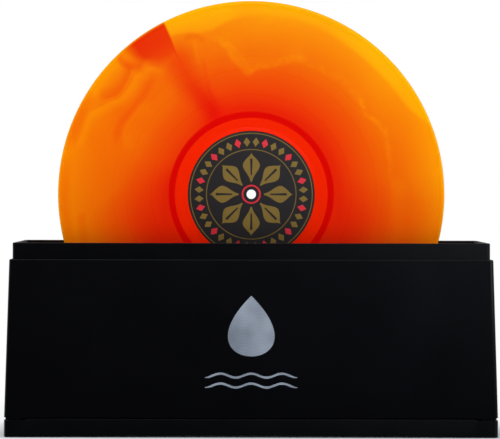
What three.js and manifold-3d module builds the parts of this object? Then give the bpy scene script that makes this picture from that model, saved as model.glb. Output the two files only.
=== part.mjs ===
// Record cleaning machine: a black casing with a wash bath, standing on a drip tray.
// A 12-inch record stands upright in the bath on two grooved rollers, between two brushes.
// Millimetres. X runs to the right, Y to the back and Z up, from the centre of the footprint.
import * as THREE from "three";
import { mergeVertices } from "three/addons/utils/BufferGeometryUtils.js";
import Module from "manifold-3d";

const wasm = await Module();
wasm.setup();

// Clearances
const seatGap = 0.3; // between two pieces of which one sits in the other
const overrun = 2; // how far a cut runs past the surface that it opens
const weld = 1; // how far a rib or boss runs into the wall that carries it

// Record
const recordDiameter = 301.6;
const recordHubThickness = 2.2;
const recordGrooveThickness = 1.4;
const recordBeadThickness = 1.8;
const recordBeadWidth = 3.2;
const recordEdgeRounding = 0.5;
const recordHubMargin = 1.2; // hub past the label
const recordHubSlope = 1.5;
const spindleHoleDiameter = 7.3;
const labelDiameter = 99;
const labelThickness = 0.25;

// Collar, the rim of the bath
const collarDepth = 130;
const collarWall = 2.6;
const collarCorner = 3;
const collarChamfer = 0.5;
const collarHeight = 12.5; // over the casing's shoulder
const rimHeight = 147.3;

// Deck of the bath, which falls towards the trough
const deckDrop = 27.3; // from the rim to the trough's mouth
const deckRise = 4;
const deckEndLength = 26.75; // from the end of the mouth to the collar
const deckThickness = 3;

// Trough of the bath
const troughRise = 3.9; // over the casing's lower edge
const troughFloorClearance = 12.2; // under the record's edge
const troughDepth = 60; // inside, front to back
const troughWall = 2.5;
const troughArcInset = 28; // from a roller's axis to the end of the round floor
const troughFlareReach = 13; // from a roller's pocket to the end of the mouth
const troughFlareHeight = 16;
const pocketClearance = 2.5; // round the rollers

// Casing
const casingWall = 2.1;
const casingFlare = 3.55; // how much wider each side stands at the bottom
const casingChamfer = 0.8;
const casingCorner = 3;
const shadowGap = 0.9; // between the tray and the casing
const footBlockSize = 20;
const footBlockHeight = 8;

// Screws and the lugs that they pass through
const lugSize = 22;
const lugThickness = 6;
const bossLength = 13; // under the deck
const bossDiameter = 11;
const bossInset = 13; // from the collar's outer faces
const screwShankDiameter = 3.2;
const screwShankLength = 15;
const screwHeadDiameter = 7;
const screwHeadHeight = 2.2;
const screwTipLength = 2;
const screwHeadTopShare = 0.8;

// Drip tray
const trayHeight = 14;
const traySkirtBottom = 0.5;
const trayWall = 3;
const trayFloorBottom = 2.5;
const trayFloorThickness = 2.5;
const trayArchRise = 0.9;
const trayArchMargin = 17.3; // from each end to the arch
const trayRecessClearance = 0.8; // beside the casing's feet
const trayRecessDepth = 1.1;
const trayPostSize = 21;
const trayChamfer = 0.6;

// Rubber feet
const trayFootDiameter = 16;
const trayFootInsetX = 22.3;
const trayFootInsetY = 21;
const casingFootSize = 14;
const casingFootInset = 1.7;
const footCorner = 2;

// Rollers, one on each side under the record
const rollerReach = 123; // from the middle to a roller's axis
const rollerPitchRadius = 10; // where the record's edge runs
const tyreDiameter = 27;
const tyreWidth = 14;
const tyreGrooveMouth = 7.2;
const tyreShoulderRounding = 1.2;
const coreDiameter = 12;
const coreLength = 40;
const coreFlangeDiameter = 17;
const coreFlangeWidth = 1.6;
const axleDiameter = 4;
const axleEndGap = 1.5; // to the trough's wall
const axleChamfer = 0.6;

// Brackets and bushes that carry the axles
const bracketThickness = 8;
const bracketWidth = 16;
const bracketRise = 16; // over the axle
const bracketDrop = 10; // under the axle
const bushDiameter = 8.4;
const bushFlangeDiameter = 12;
const bushFlangeWidth = 1.2;

// Brushes and their guides
const brushPlateWidth = 26;
const brushPlateThickness = 3;
const brushPlateDrop = 2; // under the pad
const brushWebWidth = 8;
const brushWebMargin = 4;
const padWidth = 30;
const padInnerRadius = 60.3; // from the record's centre to the pad's upper end
const padEdgeMargin = 4.5; // from the pad's lower end to the record's edge
const padThickness = 6.3;
const padCorner = 4;
const padEdgeRounding = 1.2;
const padBackThickness = 3;
const padRecordGap = 0.35; // to the label's face
const gripReach = 14.3; // over the deck
const gripRise = 12; // from the deck to the grip's upper face
const gripThickness = 3;
const gripWidth = 30;
const guideDrop = 8; // from the deck to the rails' upper ends
const guideWall = 3;
const guideLip = 2.8;
const guideLipThickness = 2;
const guideShelf = 3.5;

// Facets of round shapes
const recordFacets = 72;
const labelFacets = 48;
const rollerFacets = 32;
const smallFacets = 20;
const cornerSteps = 4;
const arcSteps = 20;
const archSteps = 12;

// Sizes that follow from the ones above
const recordRadius = recordDiameter / 2;
const trayRecessFloor = trayHeight - trayRecessDepth;
const trayRecessSize = casingFootInset + casingFootSize + trayRecessClearance;
const casingBottom = trayHeight + shadowGap;
const shoulderHeight = rimHeight - collarHeight;
const deckHeight = rimHeight - deckDrop;
const lugTop = deckHeight - deckThickness - bossLength;
const recordEdgeHeight = casingBottom + troughRise + troughWall + troughFloorClearance;
const recordCentreHeight = recordEdgeHeight + recordRadius;
const padTop = recordCentreHeight - padInnerRadius;
const padBottom = recordEdgeHeight + padEdgeMargin;
const brushBottom = padBottom - brushPlateDrop;
const brushTop = deckHeight + gripRise;
const guideTop = deckHeight - guideDrop;
const rollerDistance = recordRadius + rollerPitchRadius;
const rollerHeight = recordCentreHeight - Math.sqrt(rollerDistance ** 2 - rollerReach ** 2);
const troughArcReach = rollerReach - troughArcInset; // half length of the round floor
const pocketReach = rollerReach + tyreDiameter / 2 + pocketClearance;
const troughMouthReach = pocketReach + troughFlareReach; // half length of the mouth
const collarWidth = 2 * (troughMouthReach + deckEndLength + collarWall);
const casingTopWidth = collarWidth + 2 * (seatGap + casingWall);
const casingTopDepth = collarDepth + 2 * (seatGap + casingWall);
const casingWidth = casingTopWidth + 2 * casingFlare;
const casingDepth = casingTopDepth + 2 * casingFlare;
const troughHalf = troughDepth / 2;
const labelFace = recordHubThickness / 2 + labelThickness;
const padFace = labelFace + padRecordGap;
const platePlane = troughHalf - seatGap - brushPlateThickness; // the brush plate's inner face
const bossX = collarWidth / 2 - bossInset;
const bossY = collarDepth / 2 - bossInset;

// The four corners, and the two sides, as signs and words
const corners = [
  { name: "front_left", x: -1, y: -1 },
  { name: "front_right", x: 1, y: -1 },
  { name: "back_left", x: -1, y: 1 },
  { name: "back_right", x: 1, y: 1 },
];
const sides = [
  { name: "left", x: -1 },
  { name: "right", x: 1 },
];
const faces = [
  { name: "front", y: -1 },
  { name: "back", y: 1 },
];

// Materials
function finish(color, roughness, metalness = 0) {
  return new THREE.MeshStandardMaterial({ color, roughness, metalness });
}
const casingBlack = finish(0x0b0c10, 0.42);
const bathBlack = finish(0x0c0d10, 0.45);
const trayBlack = finish(0x0a0b0e, 0.45);
const footRubber = finish(0x18181a, 0.85);
const tyreRubber = finish(0x2a2a2c, 0.8);
const rollerPlastic = finish(0x8d9093, 0.5);
const bushPlastic = finish(0xd8d5c8, 0.5);
const steel = finish(0xb8bbc0, 0.3, 1);
const brushPlastic = finish(0x1a1b1e, 0.5);
const brushPile = finish(0xcfd3d6, 0.95);
const vinylOrange = finish(0xf26a10, 0.25);
const labelPaper = finish(0x26221f, 0.7);

// Closed geometry to a solid for cutting and joining
function solidOf(geometry) {
  const bare = geometry.clone();
  bare.deleteAttribute("normal");
  bare.deleteAttribute("uv");
  const merged = mergeVertices(bare);
  return new wasm.Manifold(
    new wasm.Mesh({
      numProp: 3,
      vertProperties: merged.attributes.position.array,
      triVerts: new Uint32Array(merged.index.array),
    }),
  );
}

// Solid back to flat-shaded geometry
function geometryOf(solid) {
  const mesh = solid.getMesh();
  const geometry = new THREE.BufferGeometry();
  geometry.setAttribute("position", new THREE.BufferAttribute(new Float32Array(mesh.vertProperties), 3));
  geometry.setIndex(new THREE.BufferAttribute(new Uint32Array(mesh.triVerts), 1));
  const flat = geometry.toNonIndexed();
  flat.computeVertexNormals();
  return flat;
}

// Solid block between two limits on each axis
function block([x0, x1], [y0, y1], [z0, z1]) {
  const geometry = new THREE.BoxGeometry(Math.abs(x1 - x0), Math.abs(y1 - y0), z1 - z0);
  geometry.translate((x0 + x1) / 2, (y0 + y1) / 2, (z0 + z1) / 2);
  return solidOf(geometry);
}

// Rounded rectangle about the origin, anticlockwise
function roundedOutline(width, depth, radius) {
  const points = [];
  for (const [index, [x, y]] of [[1, 1], [-1, 1], [-1, -1], [1, -1]].entries()) {
    for (let step = 0; step <= cornerSteps; step++) {
      const angle = (index + step / cornerSteps) * (Math.PI / 2);
      points.push(
        new THREE.Vector2(
          x * (width / 2 - radius) + radius * Math.cos(angle),
          y * (depth / 2 - radius) + radius * Math.sin(angle),
        ),
      );
    }
  }
  return points;
}

// Solid through rounded rectangles, given from the bottom up
function loft(sections) {
  const rings = sections.map(({ width, depth, radius, z }) =>
    roundedOutline(width, depth, radius).map((point) => [point.x, point.y, z]),
  );
  const count = rings[0].length;
  const index = [];
  for (let ring = 0; ring < rings.length - 1; ring++) {
    for (let step = 0; step < count; step++) {
      const a = ring * count + step;
      const b = ring * count + ((step + 1) % count);
      index.push(a, b, b + count, a, b + count, a + count);
    }
  }
  const top = (rings.length - 1) * count;
  for (let step = 1; step < count - 1; step++) {
    index.push(0, step + 1, step);
    index.push(top, top + step, top + step + 1);
  }
  const geometry = new THREE.BufferGeometry();
  geometry.setAttribute("position", new THREE.Float32BufferAttribute(rings.flat(2), 3));
  geometry.setIndex(index);
  return solidOf(geometry);
}

// Outline in X and Z, given anticlockwise as seen from the front, between two limits on Y
function slab(outline, [y0, y1]) {
  const geometry = new THREE.ExtrudeGeometry(new THREE.Shape(outline), {
    depth: y1 - y0,
    bevelEnabled: false,
  });
  geometry.rotateX(Math.PI / 2);
  geometry.translate(0, y1, 0);
  return solidOf(geometry);
}

// Closed profile of radius and height turned about Y
function turned(profile, facets) {
  const points = profile.map(([radius, along]) => new THREE.Vector2(radius, along));
  return solidOf(new THREE.LatheGeometry(points, facets));
}

// The same about Z
function turnedUpright(profile, facets) {
  const points = profile.map(([radius, along]) => new THREE.Vector2(radius, along));
  const geometry = new THREE.LatheGeometry(points, facets);
  geometry.rotateX(Math.PI / 2);
  return solidOf(geometry);
}

// Plain cylinder about Y
function rod(radius, [y0, y1], facets = smallFacets) {
  return turned([[0, y0], [radius, y0], [radius, y1], [0, y1]], facets);
}

// Plain cylinder about Z
function post(radius, [z0, z1], facets = smallFacets) {
  return turnedUpright([[0, z0], [radius, z0], [radius, z1], [0, z1]], facets);
}

function piece(name, solid, material) {
  const mesh = new THREE.Mesh(geometryOf(solid), material);
  mesh.name = name;
  return mesh;
}

// Drip tray: a shallow pan with a post and a recess at each corner for the casing's feet
function makeTray() {
  const section = { width: casingWidth, depth: casingDepth, radius: casingCorner };
  const eased = {
    width: casingWidth - 2 * trayChamfer,
    depth: casingDepth - 2 * trayChamfer,
    radius: casingCorner - trayChamfer,
  };
  const inside = {
    width: casingWidth - 2 * trayWall,
    depth: casingDepth - 2 * trayWall,
    radius: casingCorner,
  };
  let tray = loft([
    { ...section, z: traySkirtBottom },
    { ...section, z: trayHeight - trayChamfer },
    { ...eased, z: trayHeight },
  ]);
  tray = tray.subtract(
    loft([
      { ...inside, z: trayFloorBottom + trayFloorThickness },
      { ...inside, z: trayHeight + overrun },
    ]),
  );
  tray = tray.subtract(
    loft([
      { ...inside, z: traySkirtBottom - overrun },
      { ...inside, z: trayFloorBottom },
    ]),
  );
  for (const { x, y } of corners) {
    const outerX = (x * (casingWidth - trayWall)) / 2;
    const outerY = (y * (casingDepth - trayWall)) / 2;
    tray = tray.add(
      block(
        [outerX, outerX - x * trayPostSize],
        [outerY, outerY - y * trayPostSize],
        [trayFloorBottom + weld, trayRecessFloor],
      ),
    );
  }
  for (const { x, y } of corners) {
    tray = tray.subtract(
      block(
        [(x * casingWidth) / 2 + x * overrun, (x * casingWidth) / 2 - x * trayRecessSize],
        [(y * casingDepth) / 2 + y * overrun, (y * casingDepth) / 2 - y * trayRecessSize],
        [trayRecessFloor, trayHeight + overrun],
      ),
    );
  }
  const archHalf = casingWidth / 2 - trayArchMargin;
  const arch = [new THREE.Vector2(-archHalf, traySkirtBottom - overrun)];
  arch.push(new THREE.Vector2(archHalf, traySkirtBottom - overrun));
  for (let step = 0; step <= archSteps; step++) {
    const share = 1 - (2 * step) / archSteps;
    arch.push(new THREE.Vector2(archHalf * share, traySkirtBottom + trayArchRise * (1 - share * share)));
  }
  return tray.subtract(slab(arch, [-casingDepth / 2 - overrun, casingDepth / 2 + overrun]));
}

// Section of the casing at one height, inset from its outer face
function casingSection(inset, z, easing = 0) {
  const flare = (casingFlare * (shoulderHeight - z)) / (shoulderHeight - casingBottom);
  return {
    width: casingTopWidth + 2 * (flare - inset - easing),
    depth: casingTopDepth + 2 * (flare - inset - easing),
    radius: casingCorner - easing,
    z,
  };
}

// Casing: a tapered sleeve with lugs for the bath's screws and blocks over the feet
function makeCasing() {
  const outer = loft([
    casingSection(0, casingBottom),
    casingSection(0, shoulderHeight - casingChamfer),
    casingSection(0, shoulderHeight, casingChamfer),
  ]);
  const hollow = loft([
    casingSection(casingWall, casingBottom - overrun),
    casingSection(casingWall, shoulderHeight + overrun),
  ]);
  let casing = outer.subtract(hollow);
  for (const { x, y } of corners) {
    const lug = block(
      [(x * casingTopWidth) / 2, x * (casingTopWidth / 2 - lugSize)],
      [(y * casingTopDepth) / 2, y * (casingTopDepth / 2 - lugSize)],
      [lugTop - lugThickness, lugTop],
    );
    const hole = post(screwShankDiameter / 2 + seatGap, [
      lugTop - lugThickness - overrun,
      lugTop + overrun,
    ]);
    const outerX = (x * (casingWidth - casingWall)) / 2;
    const outerY = (y * (casingDepth - casingWall)) / 2;
    const footBlock = block(
      [outerX, outerX - x * footBlockSize],
      [outerY, outerY - y * footBlockSize],
      [casingBottom, casingBottom + footBlockHeight],
    );
    casing = casing.add(lug).subtract(hole.translate([x * bossX, y * bossY, 0])).add(footBlock);
  }
  return casing;
}

// Outline of the trough in X and Z: a round floor about the record's centre, and a pocket at each roller
function troughOutline(grow, top) {
  const radius = recordRadius + troughFloorClearance + grow;
  const reach = Math.asin(troughArcReach / (radius - grow));
  const pocketX = pocketReach + grow;
  const pocketZ = rollerHeight - tyreDiameter / 2 - pocketClearance - grow;
  const points = [];
  for (let step = 0; step <= arcSteps; step++) {
    const angle = reach * ((2 * step) / arcSteps - 1);
    points.push(
      new THREE.Vector2(radius * Math.sin(angle), recordCentreHeight - radius * Math.cos(angle)),
    );
  }
  points.push(new THREE.Vector2(pocketX, pocketZ));
  points.push(new THREE.Vector2(pocketX, deckHeight - troughFlareHeight));
  points.push(new THREE.Vector2(troughMouthReach + grow, deckHeight));
  points.push(new THREE.Vector2(troughMouthReach + grow, top));
  points.push(new THREE.Vector2(-troughMouthReach - grow, top));
  points.push(new THREE.Vector2(-troughMouthReach - grow, deckHeight));
  points.push(new THREE.Vector2(-pocketX, deckHeight - troughFlareHeight));
  points.push(new THREE.Vector2(-pocketX, pocketZ));
  return points;
}

// Bracket on one wall of the trough, with a slot that an axle's bush drops into
function makeBracket(x, y) {
  const body = block(
    [-bracketWidth / 2, bracketWidth / 2],
    [y * (troughHalf + weld), y * (troughHalf - bracketThickness)],
    [-bracketDrop, bracketRise],
  );
  const slotRadius = bushDiameter / 2 + seatGap;
  const slotLimits = [y * troughHalf, y * (troughHalf - bracketThickness - overrun)];
  const slot = block([-slotRadius, slotRadius], slotLimits, [0, bracketRise + overrun]);
  const seat = rod(slotRadius, slotLimits.sort((a, b) => a - b));
  return body.subtract(slot).subtract(seat).translate([x * rollerReach, 0, rollerHeight]);
}

// Pair of rails with lips and a shelf, which one brush slides down into
function makeGuide(y) {
  const plateHalf = brushPlateWidth / 2;
  const railOut = plateHalf + seatGap + guideWall;
  const lipPlane = platePlane - seatGap - guideLipThickness;
  let guide = block(
    [-railOut, railOut],
    [y * (troughHalf + weld), y * lipPlane],
    [brushBottom - seatGap - guideShelf, brushBottom - seatGap],
  );
  for (const { x } of sides) {
    const rail = block(
      [x * (plateHalf + seatGap), x * railOut],
      [y * (troughHalf + weld), y * lipPlane],
      [brushBottom - seatGap - guideShelf, guideTop],
    );
    const lip = block(
      [x * (plateHalf - guideLip), x * railOut],
      [y * (platePlane - seatGap), y * lipPlane],
      [brushBottom - seatGap - guideShelf, guideTop],
    );
    guide = guide.add(rail).add(lip);
  }
  return guide;
}

// Bath: collar, sloping deck and trough in one moulding, with guides, brackets and screw bosses
function makeBath() {
  const collar = { width: collarWidth, depth: collarDepth, radius: collarCorner };
  const collarInside = {
    width: collarWidth - 2 * collarWall,
    depth: collarDepth - 2 * collarWall,
    radius: collarCorner,
  };
  let bath = loft([
    { ...collar, z: deckHeight - deckThickness },
    { ...collar, z: rimHeight - collarChamfer },
    {
      width: collarWidth - 2 * collarChamfer,
      depth: collarDepth - 2 * collarChamfer,
      radius: collarCorner - collarChamfer,
      z: rimHeight,
    },
  ]);
  for (const { x, y } of corners) {
    const boss = post(bossDiameter / 2, [lugTop, deckHeight - deckThickness + weld]);
    bath = bath.add(boss.translate([x * bossX, y * bossY, 0]));
  }
  bath = bath.add(
    slab(troughOutline(troughWall, deckHeight), [-troughHalf - troughWall, troughHalf + troughWall]),
  );
  bath = bath.subtract(
    loft([
      { ...collarInside, z: deckHeight + deckRise },
      { ...collarInside, z: rimHeight + overrun },
    ]),
  );
  bath = bath.subtract(
    loft([
      { width: 2 * troughMouthReach, depth: troughDepth, radius: collarCorner, z: deckHeight },
      { ...collarInside, z: deckHeight + deckRise },
    ]),
  );
  bath = bath.subtract(slab(troughOutline(0, deckHeight + weld), [-troughHalf, troughHalf]));
  for (const { x, y } of corners) {
    bath = bath.add(makeBracket(x, y));
    const pilot = post(screwShankDiameter / 2 + seatGap, [
      lugTop - overrun,
      lugTop - lugThickness + screwShankLength + seatGap,
    ]);
    bath = bath.subtract(pilot.translate([x * bossX, y * bossY, 0]));
  }
  for (const { y } of faces) {
    bath = bath.add(makeGuide(y));
  }
  return bath;
}

// Screw with its head under a lug and its tip in the bath's boss
function makeScrew() {
  const shank = screwShankDiameter / 2;
  const head = screwHeadDiameter / 2;
  return turnedUpright(
    [
      [0, -screwHeadHeight],
      [head * screwHeadTopShare, -screwHeadHeight],
      [head, -screwHeadHeight / 2],
      [head, 0],
      [shank, 0],
      [shank, screwShankLength - screwTipLength],
      [0, screwShankLength],
    ],
    smallFacets,
  );
}

// Bush with its flange towards the roller
function makeBush() {
  const bore = axleDiameter / 2 + seatGap;
  const low = troughHalf - bracketThickness;
  return turned(
    [
      [bore, low - seatGap - bushFlangeWidth],
      [bushFlangeDiameter / 2, low - seatGap - bushFlangeWidth],
      [bushFlangeDiameter / 2, low - seatGap],
      [bushDiameter / 2, low - seatGap],
      [bushDiameter / 2, troughHalf - seatGap],
      [bore, troughHalf - seatGap],
      [bore, low - seatGap - bushFlangeWidth],
    ],
    smallFacets,
  );
}

function makeAxle() {
  const radius = axleDiameter / 2;
  const half = troughHalf - axleEndGap;
  return turned(
    [
      [0, -half],
      [radius - axleChamfer, -half],
      [radius, axleChamfer - half],
      [radius, half - axleChamfer],
      [radius - axleChamfer, half],
      [0, half],
    ],
    smallFacets,
  );
}

// Spool that the tyre is stretched over
function makeCore() {
  const bore = axleDiameter / 2 + seatGap;
  const half = coreLength / 2;
  const flange = coreFlangeDiameter / 2;
  return turned(
    [
      [bore, -half],
      [flange, -half],
      [flange, coreFlangeWidth - half],
      [coreDiameter / 2, coreFlangeWidth - half],
      [coreDiameter / 2, half - coreFlangeWidth],
      [flange, half - coreFlangeWidth],
      [flange, half],
      [bore, half],
      [bore, -half],
    ],
    rollerFacets,
  );
}

// Tyre with the groove that the record's edge stands in
function makeTyre() {
  const bore = coreDiameter / 2 + seatGap;
  const half = tyreWidth / 2;
  const top = tyreDiameter / 2;
  const floor = rollerPitchRadius - seatGap;
  const floorHalf = recordBeadThickness / 2 + seatGap;
  const mouth = tyreGrooveMouth / 2;
  return turned(
    [
      [bore, -half],
      [top - tyreShoulderRounding, -half],
      [top, tyreShoulderRounding - half],
      [top, -mouth],
      [floor, -floorHalf],
      [floor, floorHalf],
      [top, mouth],
      [top, half - tyreShoulderRounding],
      [top - tyreShoulderRounding, half],
      [bore, half],
      [bore, -half],
    ],
    rollerFacets,
  );
}

// Record: raised hub, grooved band and rounded bead at the edge
function makeRecord() {
  const hole = spindleHoleDiameter / 2;
  const hub = labelDiameter / 2 + recordHubMargin;
  const hubHalf = recordHubThickness / 2;
  const grooveHalf = recordGrooveThickness / 2;
  const beadHalf = recordBeadThickness / 2;
  const upper = [
    [hub + recordHubSlope, grooveHalf],
    [recordRadius - recordBeadWidth, grooveHalf],
    [recordRadius - recordBeadWidth / 2, beadHalf],
    [recordRadius - recordEdgeRounding, beadHalf],
    [recordRadius, beadHalf - recordEdgeRounding],
  ];
  const lower = upper.map(([radius, along]) => [radius, -along]);
  return turned(
    [
      [hole, -hubHalf],
      [hub, -hubHalf],
      ...lower,
      ...upper.reverse(),
      [hub, hubHalf],
      [hole, hubHalf],
      [hole, -hubHalf],
    ],
    recordFacets,
  );
}

function makeLabel(y) {
  const hole = spindleHoleDiameter / 2;
  const near = recordHubThickness / 2;
  const [low, high] = y > 0 ? [near, labelFace] : [-labelFace, -near];
  return turned(
    [
      [hole, low],
      [labelDiameter / 2, low],
      [labelDiameter / 2, high],
      [hole, high],
      [hole, low],
    ],
    labelFacets,
  );
}

// Brush holder for the back, with a plate for the guide, a web, a pad back and a grip over the deck
function makeBrushHolder() {
  const backPlane = padFace + padThickness + seatGap;
  const plate = block(
    [-brushPlateWidth / 2, brushPlateWidth / 2],
    [platePlane, platePlane + brushPlateThickness],
    [brushBottom, brushTop],
  );
  const web = block(
    [-brushWebWidth / 2, brushWebWidth / 2],
    [backPlane + padBackThickness - weld, platePlane + weld],
    [padBottom + brushWebMargin, padTop - brushWebMargin],
  );
  const padBack = block(
    [-padWidth / 2, padWidth / 2],
    [backPlane, backPlane + padBackThickness],
    [padBottom, padTop],
  );
  const grip = block(
    [-gripWidth / 2, gripWidth / 2],
    [platePlane, platePlane + brushPlateThickness + gripReach],
    [brushTop - gripThickness, brushTop],
  );
  return plate.add(web).add(padBack).add(grip);
}

// Brush pad for the back: a pile-covered cushion with rounded edges
function makePad() {
  const inset = 2 * padEdgeRounding;
  const outline = roundedOutline(padWidth - inset, padTop - padBottom - inset, padCorner);
  const geometry = new THREE.ExtrudeGeometry(new THREE.Shape(outline), {
    depth: padThickness - inset,
    bevelThickness: padEdgeRounding,
    bevelSize: padEdgeRounding,
    bevelSegments: 2,
  });
  geometry.rotateX(Math.PI / 2);
  geometry.translate(0, padFace + padThickness - padEdgeRounding, (padTop + padBottom) / 2);
  return solidOf(geometry);
}

function makeTrayFoot() {
  return post(trayFootDiameter / 2, [0, trayFloorBottom]);
}

function makeCasingFoot() {
  const size = { width: casingFootSize, depth: casingFootSize, radius: footCorner };
  return loft([{ ...size, z: trayRecessFloor }, { ...size, z: casingBottom }]);
}

// Drip tray with its feet
const trayGroup = new THREE.Group();
trayGroup.add(piece("base_tray", makeTray(), trayBlack));
for (const { name, x, y } of corners) {
  const foot = piece("tray_foot_" + name, makeTrayFoot(), footRubber);
  foot.position.set(
    x * (casingWidth / 2 - trayFootInsetX),
    y * (casingDepth / 2 - trayFootInsetY),
    0,
  );
  trayGroup.add(foot);
}

// Casing with the bath and all that is fixed to it
const casingGroup = new THREE.Group();
casingGroup.add(piece("casing", makeCasing(), casingBlack));
casingGroup.add(piece("bath", makeBath(), bathBlack));
for (const { name, x, y } of corners) {
  const foot = piece("casing_foot_" + name, makeCasingFoot(), footRubber);
  const footInset = casingFootInset + casingFootSize / 2;
  foot.position.set(x * (casingWidth / 2 - footInset), y * (casingDepth / 2 - footInset), 0);
  casingGroup.add(foot);
  const screw = piece("bath_screw_" + name, makeScrew(), steel);
  screw.position.set(x * bossX, y * bossY, lugTop - lugThickness);
  casingGroup.add(screw);
  const bush = piece("axle_bush_" + name, makeBush(), bushPlastic);
  bush.position.set(x * rollerReach, 0, rollerHeight);
  bush.rotation.z = y > 0 ? 0 : Math.PI;
  casingGroup.add(bush);
}

// Record with its labels, about its own axis
const recordGroup = new THREE.Group();
recordGroup.position.set(0, 0, recordCentreHeight);
recordGroup.add(piece("record_disc", makeRecord(), vinylOrange));
for (const { name, y } of faces) {
  recordGroup.add(piece("label_" + name, makeLabel(y), labelPaper));
}

// A roller on each side, about its own axle
const rollerGroups = sides.map(({ name, x }) => {
  const roller = new THREE.Group();
  roller.position.set(x * rollerReach, 0, rollerHeight);
  roller.add(piece("roller_axle_" + name, makeAxle(), steel));
  roller.add(piece("roller_core_" + name, makeCore(), rollerPlastic));
  roller.add(piece("roller_tyre_" + name, makeTyre(), tyreRubber));
  return roller;
});

// A brush on each face of the record
const brushGroups = faces.map(({ name, y }) => {
  const brush = new THREE.Group();
  brush.rotation.z = y > 0 ? 0 : Math.PI;
  brush.add(piece("brush_holder_" + name, makeBrushHolder(), brushPlastic));
  brush.add(piece("brush_pad_" + name, makePad(), brushPile));
  return brush;
});

const machine = new THREE.Group();
machine.add(trayGroup, casingGroup, recordGroup, ...rollerGroups, ...brushGroups);

export default machine;
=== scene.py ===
"""Record cleaning machine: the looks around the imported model, in metres.

X runs to the right, Y to the back and Z up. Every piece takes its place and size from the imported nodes.
"""

import math
from contextlib import contextmanager

import bmesh
import bpy
from mathutils import Matrix, Vector


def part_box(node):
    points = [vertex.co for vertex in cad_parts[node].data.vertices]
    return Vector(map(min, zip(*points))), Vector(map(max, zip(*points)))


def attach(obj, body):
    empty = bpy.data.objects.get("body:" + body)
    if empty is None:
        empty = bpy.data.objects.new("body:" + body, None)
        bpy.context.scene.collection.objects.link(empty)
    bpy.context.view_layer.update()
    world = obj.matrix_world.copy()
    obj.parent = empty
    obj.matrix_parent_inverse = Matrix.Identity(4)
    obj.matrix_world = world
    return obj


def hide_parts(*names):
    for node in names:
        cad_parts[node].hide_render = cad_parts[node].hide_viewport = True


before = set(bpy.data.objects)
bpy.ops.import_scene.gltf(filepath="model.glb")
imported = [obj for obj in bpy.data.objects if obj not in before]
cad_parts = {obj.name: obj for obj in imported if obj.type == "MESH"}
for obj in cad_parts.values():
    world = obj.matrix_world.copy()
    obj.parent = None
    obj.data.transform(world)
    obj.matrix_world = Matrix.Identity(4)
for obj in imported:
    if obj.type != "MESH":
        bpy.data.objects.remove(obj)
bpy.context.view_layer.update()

MM = 0.001

# Places and sizes read from the frame
record_low, record_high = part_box("record_disc")
record_centre = (record_low + record_high) / 2
record_radius = (record_high.x - record_low.x) / 2
record_hub_half = record_high.y
label_low, label_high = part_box("label_back")
label_radius = (label_high.x - label_low.x) / 2
label_thickness = label_high.y - label_low.y
casing_low, casing_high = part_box("casing")
collar_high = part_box("bath")[1]
tray_low, tray_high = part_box("base_tray")
roller_low, roller_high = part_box("roller_tyre_right")
roller_place = (roller_low + roller_high) / 2
tyre_radius = (roller_high.x - roller_low.x) / 2
tyre_half = roller_high.y
rim_height = collar_high.z

# Sizes of the mouldings that the frame's boxes don't give
seat_gap = 0.3 * MM
casing_wall = 2.1 * MM
casing_corner = 3.0 * MM
collar_wall = 2.6 * MM
collar_corner = 0.5 * MM
deck_height = rim_height - 27.3 * MM
deck_rise = 4.0 * MM
skirt_drop = 4.4 * MM
trough_half = 30.0 * MM
trough_clearance = 12.2 * MM
trough_arc_reach = roller_place.x - 28.0 * MM
pocket_clearance = 2.5 * MM
pocket_reach = roller_place.x + tyre_radius + pocket_clearance
mouth_reach = pocket_reach + 13.0 * MM
flare_height = 16.0 * MM
spindle_hole_radius = 3.65 * MM
bracket_depth = 8.0 * MM
bush_flange = 1.2 * MM
brush_plate_half = 13.0 * MM
brush_plate_thickness = 3.0 * MM
lug_top = deck_height - 16.0 * MM
lug_thickness = 6.0 * MM
boss_inset = 13.0 * MM
screw_shank_radius = 1.6 * MM
tray_recess_floor = tray_high.z - 1.1 * MM
casing_top_half_x = collar_high.x + seat_gap + casing_wall
casing_top_half_y = collar_high.y + seat_gap + casing_wall

# Places of repeated pieces: the side in X and in Y, and the quarter turns about Z
SIDES = {"left": (-1, 1, 0), "right": (1, 1, 0)}
FACES = {"front": (1, -1, 0), "back": (1, 1, 2)}
CORNERS = {
    "front_left": (-1, -1, 0), "front_right": (1, -1, 1),
    "back_right": (1, 1, 2), "back_left": (-1, 1, 3),
}
BEARINGS = {
    "front_left": (-1, -1, 0), "front_right": (1, -1, 0),
    "back_right": (1, 1, 2), "back_left": (-1, 1, 2),
}


# Modelling by hand, as small steps

def deselect_objects():
    bpy.ops.object.select_all(action="DESELECT")


def make_active(piece):
    deselect_objects()
    piece.select_set(True)
    bpy.context.view_layer.objects.active = piece


@contextmanager
def editing(piece):
    """Edit mode on one piece, with nothing selected in it at first."""
    make_active(piece)
    bpy.ops.object.mode_set(mode="EDIT")
    bpy.ops.mesh.select_all(action="DESELECT")
    yield
    bpy.ops.object.mode_set(mode="OBJECT")


def settle(name):
    """Names the new primitive and puts its place and size into its mesh."""
    piece = bpy.context.object
    piece.name = name
    piece.data.name = name
    bpy.ops.object.transform_apply(location=True, rotation=True, scale=True)
    return piece


def add_block(name, low, high):
    low, high = Vector(low), Vector(high)
    deselect_objects()
    bpy.ops.mesh.primitive_cube_add(size=1, location=(low + high) / 2, scale=high - low)
    return settle(name)


def add_rod(name, centre, axis, radius, length, steps=32):
    """Round bar along Y or Z."""
    deselect_objects()
    turn = (math.pi / 2, 0, 0) if axis == "Y" else (0, 0, 0)
    bpy.ops.mesh.primitive_cylinder_add(
        vertices=steps, radius=radius, depth=length, location=centre, rotation=turn)
    return settle(name)


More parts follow.
